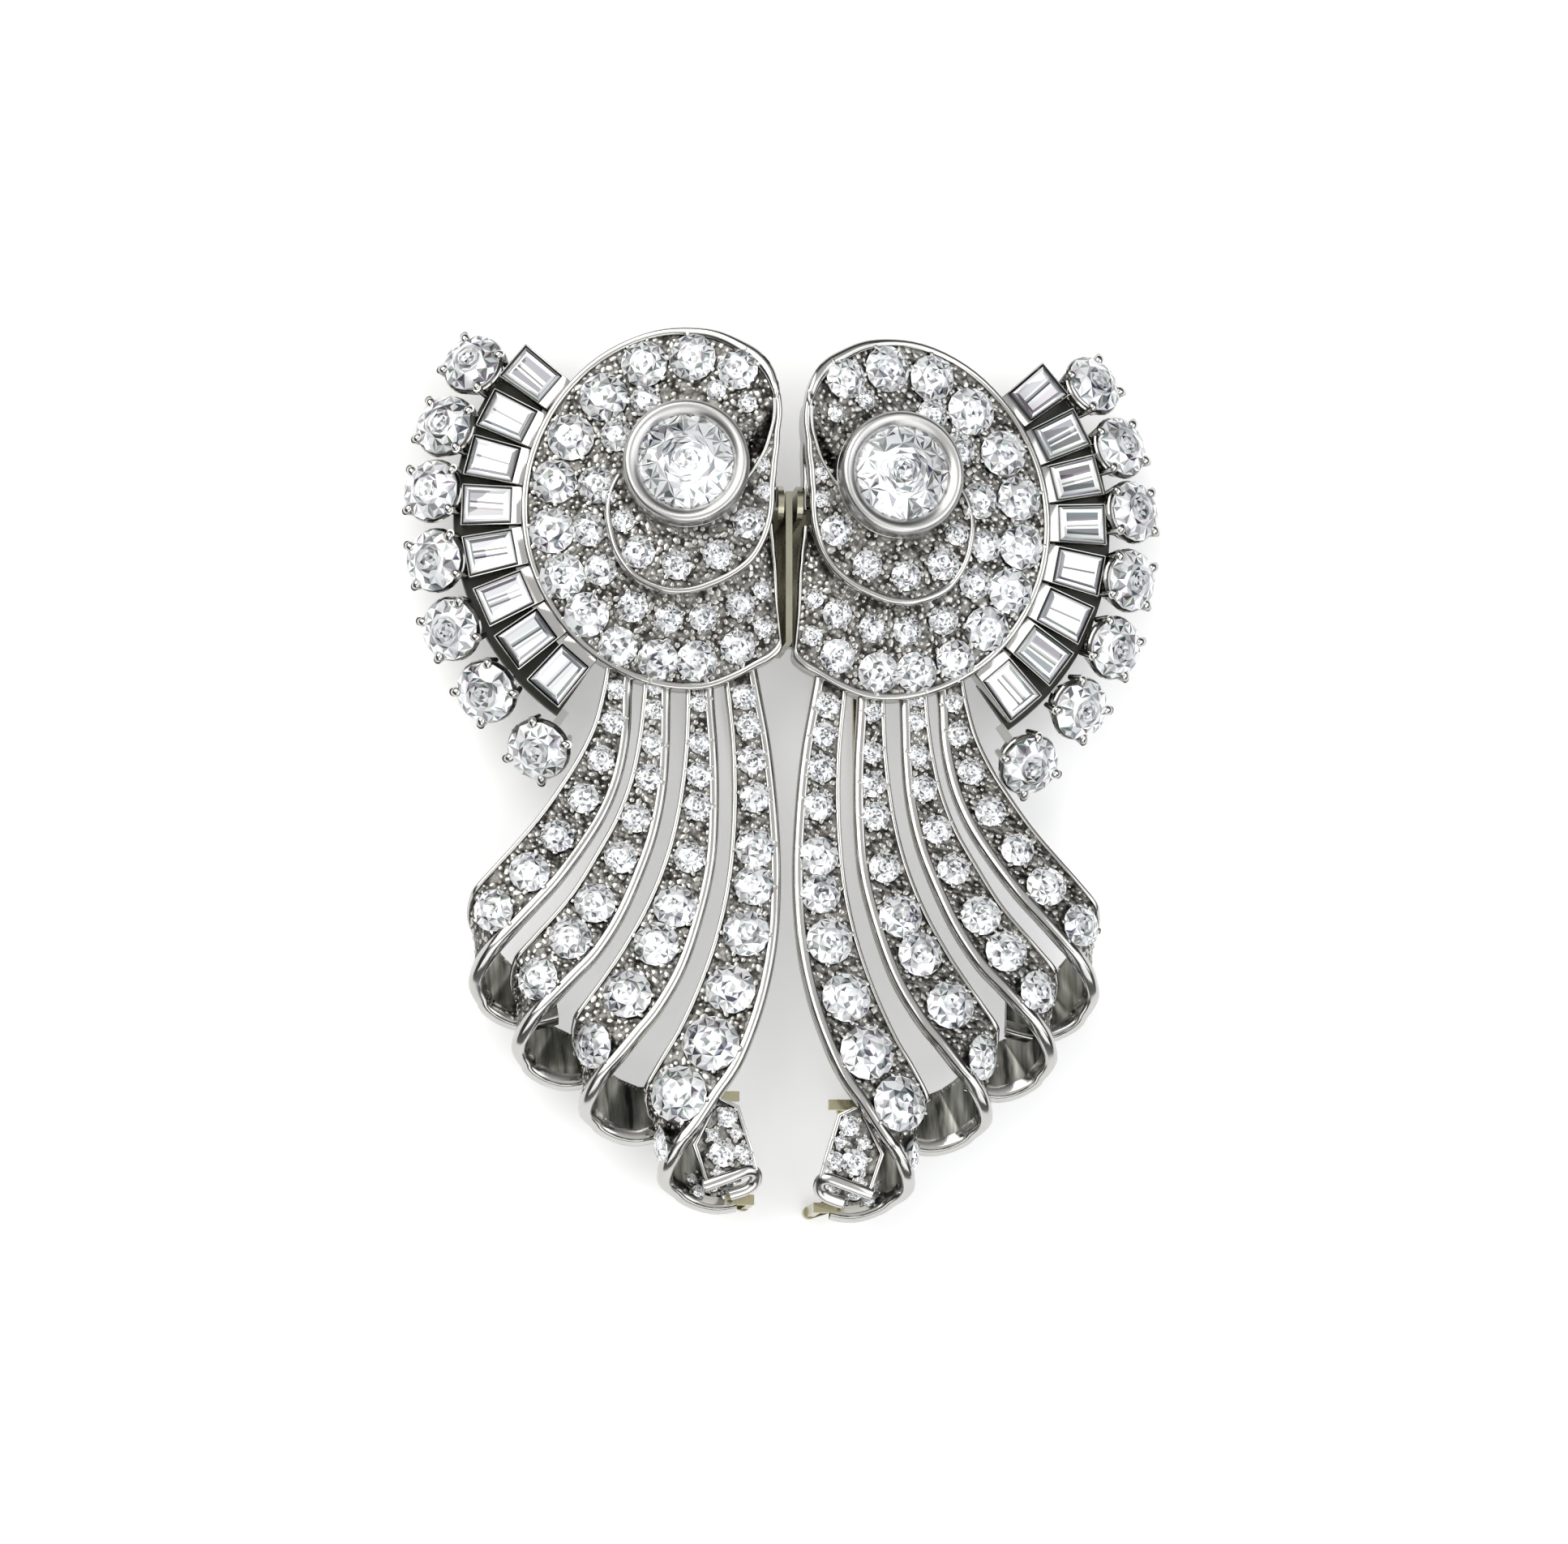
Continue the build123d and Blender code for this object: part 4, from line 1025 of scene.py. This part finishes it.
def inner_spot(x, y):
    """The same for the inner turn."""
    radius, row = inner_row(x, y)
    if row is None:
        return None
    _, reach, rim, start = row
    return rim - 0.32, min(reach - 0.46 - radius, radius - max(start + 0.3, COLLET_CLEAR))


def spot_normal(spot, x, y):
    """Normal of a face from its heights a little way off on four sides."""
    left, right = spot(x - 0.3, y), spot(x + 0.3, y)
    low, high = spot(x, y - 0.3), spot(x, y + 0.3)
    if None in (left, right, low, high):
        return Vector((0, 0, 1))
    return Vector(((left[0] - right[0]) / 0.6, (low[0] - high[0]) / 0.6, 1)).normalized()


def near_line(line, x, y):
    """Spot on a ribbon nearest to x, y as seen from above, and the normal there."""
    best = None
    for middle, across, normal, width, roll in line:
        if normal.z > 0.12:
            offset = Vector((x, y)) - middle.xy
            flat = across.xy.length
            side = max(-1.0, min(1.0, offset.dot(across.xy) / max(flat * flat, 0.1)))
            spot = middle + across * side
            miss = (spot.xy - Vector((x, y))).length + 0.2 * abs(side)
            if best is None or miss < best[0]:
                best = (miss, spot, normal)
    return best[1:]


def grain_shape():
    bm = bmesh.new()
    bmesh.ops.create_icosphere(bm, subdivisions=1, radius=1)
    smooth_all(bm)
    return as_mesh(bm, "grain")


grain = grain_shape()
small_cut = as_mesh(brilliant(-0.35, 0.62, 2, 1), "small_cut")
grain_metal = polished_metal("platinum_grains", (0.5, 0.49, 0.46, 1.0), 0.15, 0.4, 0.1)


class Taken:
    """Which spots of a surface are taken by stones or grains."""

    def __init__(self):
        self.cells = {}
        self.stones = []

    def cell(self, point):
        return tuple(round(part / GRAIN_GAP) for part in point)

    def take(self, point):
        self.cells.setdefault(self.cell(point), []).append(point)

    def free(self, point):
        """Whether a grain can sit at a spot; if so, the spot is taken."""
        for centre, radius in self.stones:
            if (point - centre).length < radius:
                return False
        column, row, layer = self.cell(point)
        for step in itertools.product((-1, 0, 1), repeat=3):
            near = (column + step[0], row + step[1], layer + step[2])
            for other in self.cells.get(near, ()):
                if (point - other).length < GRAIN_GAP:
                    return False
        self.take(point)
        return True


def add_grain(bm, point, normal, size, chance):
    """One grain, flattened and a little longer one way."""
    shape = Matrix.Diagonal((size * (0.8 + 0.9 * chance.random()), size, 0.6 * size, 1))
    spin = Matrix.Rotation(chance.random() * math.tau, 4, "Z")
    add_copy(bm, grain, tilted(point, normal) @ spin @ shape)


def cut_size(chance):
    """Radius of a grain cut from the metal between the stones; most are fine."""
    return 0.12 + 0.15 * chance.random() ** 2


def seat_small(stones, grains, taken, point, normal, diameter, chance):
    """One small stone at its seat, with grains round its girdle."""
    radius = 0.5 * diameter * STONE_GROWTH
    place = tilted(point + normal * (0.16 * radius + 0.02), normal)
    seat_stone(stones, small_cut, place @ Matrix.Scale(radius, 4), chance, radius, [])
    taken.stones.append((point, radius + 0.1))
    count = 4 if diameter < 1.7 else 6
    first = chance.random() * math.tau
    for index in range(count):
        turn = first + math.tau * (index + 0.25 * (chance.random() - 0.5)) / count
        reach = radius + 0.06
        spot = place @ Vector((reach * math.cos(turn), reach * math.sin(turn), 0.05))
        add_grain(grains, spot, normal, 0.15 + 0.04 * chance.random(), chance)
        taken.take(spot)


for side, seed in (("left", 101), ("right", 202)):
    chance = random.Random(seed)
    stones = bmesh.new()
    grains = bmesh.new()
    taken = Taken()
    for spot, table in ((outer_spot, OUTER_STONES), (inner_spot, INNER_STONES)):
        for x, y, diameter in table:
            x += 0.1 * (chance.random() - 0.5)
            y += 0.1 * (chance.random() - 0.5)
            found = spot(x, y)
            normal = spot_normal(spot, x, y)
            seat_small(stones, grains, taken, Vector((x, y, found[0])), normal, diameter, chance)
    for attempt in range(HEAD_TRIES):
        x = chance.uniform(-19.2, -0.4)
        y = chance.uniform(5.4, 31.4)
        for spot in (outer_spot, inner_spot):
            found = spot(x, y)
            if found is not None and found[1] > RIM_CLEAR:
                point = Vector((x, y, found[0]))
                if taken.free(point):
                    add_grain(grains, point, spot_normal(spot, x, y), cut_size(chance), chance)
    set_half(stones, side, "head_stones", [diamond], "diamond", "head_pave")
    set_half(grains, side, "head_grains", [grain_metal], "platinum")

    stones = bmesh.new()
    grains = bmesh.new()
    taken = Taken()
    for line, table in zip(ribbon_lines, RIBBON_STONES):
        for x, y, diameter in table:
            point, normal = near_line(line, x, y)
            seat_small(stones, grains, taken, point, normal, diameter, chance)
    for line in ribbon_lines:
        for attempt in range(RIBBON_TRIES):
            index = chance.randrange(len(line) - 1)
            middle, across, normal, width, roll = line[index]
            ahead = line[index + 1][0]
            half = 0.5 * width - 0.45
            point = middle.lerp(ahead, chance.random()) + across * chance.uniform(-half, half)
            if roll < LAST_ROLL and middle.y < RIBBON_TOP and taken.free(point):
                add_grain(grains, point, normal, cut_size(chance), chance)
    for x, y, diameter in LEAF_STONES:
        point = Vector((x, y, LEAF_BOTTOM + LEAF_FACE))
        seat_small(stones, grains, taken, point, Vector((0, 0, 1)), diameter, chance)
    for back, place, diameter in HOOK_STONES:
        middle, across, normal, width, roll = ribbon_lines[3][-back]
        seat = middle + across * place - normal * HOOK_DEPTH
        seat_small(stones, grains, taken, seat, -normal, diameter, chance)
    set_half(stones, side, "ribbon_stones", [diamond], "diamond", "ribbon_pave")
    set_half(grains, side, "ribbon_grains", [grain_metal], "platinum")


# Fittings behind and between the clips.
# Gold alloy fork, frame and pin, kept as the modelled solids. Only the fin, two lugs and
# the fork's end tabs show from the front.

gold = polished_metal("gold_alloy", (0.50, 0.46, 0.30, 1.0), 0.12, 0.3, 0.2)
steel_gold = polished_metal("gold_worn", (0.42, 0.40, 0.31, 1.0), 0.18, 0.35, 0.2)
for name, finish in (
    ("left_clip_fork", gold), ("right_clip_fork", gold), ("brooch_frame", steel_gold), ("pin", gold),
):
    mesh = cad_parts[name].data
    mesh.materials.clear()
    mesh.materials.append(finish)


# Floor, light and camera.
# A plain white sweep, one broad soft box overhead and dimmer sides, and the camera a
# little to the left of straight above and a little below.

bm = bmesh.new()
bmesh.ops.create_grid(bm, x_segments=1, y_segments=1, size=1.0)
floor = bpy.data.objects.new("floor", as_mesh(bm, "floor"))
bpy.context.scene.collection.objects.link(floor)
paper, nodes, links, shader = principled("floor_paper", (0.75, 0.75, 0.75, 1.0), 0.0, 0.7)
shader.inputs["Emission Color"].default_value = (1.0, 1.0, 1.0, 1.0)
shader.inputs["Emission Strength"].default_value = 0.36
floor.data.materials.append(paper)

world = bpy.data.worlds.new("studio")
bpy.context.scene.world = world
world.use_nodes = True
nodes = world.node_tree.nodes
links = world.node_tree.links
background = nodes["Background"]
where = nodes.new("ShaderNodeTexCoord")
split = nodes.new("ShaderNodeSeparateXYZ")
links.new(where.outputs["Generated"], split.inputs["Vector"])
# Share of the height of the sky, level of its light
sky = [(0.0, (0.25, 0.25, 0.26, 1.0))]
for position, level in ((0.35, 0.05), (0.6, 0.1), (0.74, 0.85), (0.9, 1.0)):
    sky.append((position, (level, level, level * 1.01, 1.0)))
sky.append((1.0, (1.0, 1.0, 1.0, 1.0)))
links.new(colour_ramp(nodes, links, split.outputs["Z"], sky), background.inputs["Color"])
background.inputs["Strength"].default_value = 0.8

for name, spot, size, power, colour in (
    ("key", (-0.45, 0.35, 0.62), 0.8, 5.0, (1.0, 0.99, 0.97)),
    ("fill", (0.5, -0.1, 0.6), 0.7, 2.5, (0.96, 0.98, 1.0)),
    ("front", (0.05, -0.6, 0.45), 0.6, 2.0, (1.0, 1.0, 1.0)),
):
    lamp = bpy.data.lights.new(name, "AREA")
    lamp.size = size
    lamp.energy = power
    lamp.color = colour
    holder = bpy.data.objects.new(name, lamp)
    bpy.context.scene.collection.objects.link(holder)
    aim = (Vector((0, 0, 0.006)) - Vector(spot)).to_track_quat("-Z", "Y")
    holder.matrix_world = Matrix.Translation(spot) @ aim.to_matrix().to_4x4()

PHOTO_WIDTH = 1934
PIXEL = 0.056
DISTANCE = 480.0
LOOK_LEFT = 6.5
LOOK_BELOW = 8.0
aim = Vector((-0.000196, 0.00035, 0.007))
back = Vector((
    -math.tan(math.radians(LOOK_LEFT)), -math.tan(math.radians(LOOK_BELOW)), 1.0
)).normalized()
right = (-back).cross(Vector((0, 1, 0))).normalized()
up = right.cross(-back)
camera_data = bpy.data.cameras.new("camera")
camera_data.sensor_fit = "HORIZONTAL"
camera_data.sensor_width = 36.0
camera_data.lens = camera_data.sensor_width * DISTANCE / (PHOTO_WIDTH * PIXEL)
camera_data.clip_start = 0.01
camera_data.clip_end = 10.0
camera = bpy.data.objects.new("camera", camera_data)
facing = Matrix((right, up, back)).transposed().to_4x4()
camera.matrix_world = Matrix.Translation(aim + back * 0.001 * DISTANCE) @ facing
bpy.context.scene.collection.objects.link(camera)
bpy.context.scene.camera = camera
bpy.context.scene.view_settings.view_transform = "Standard"
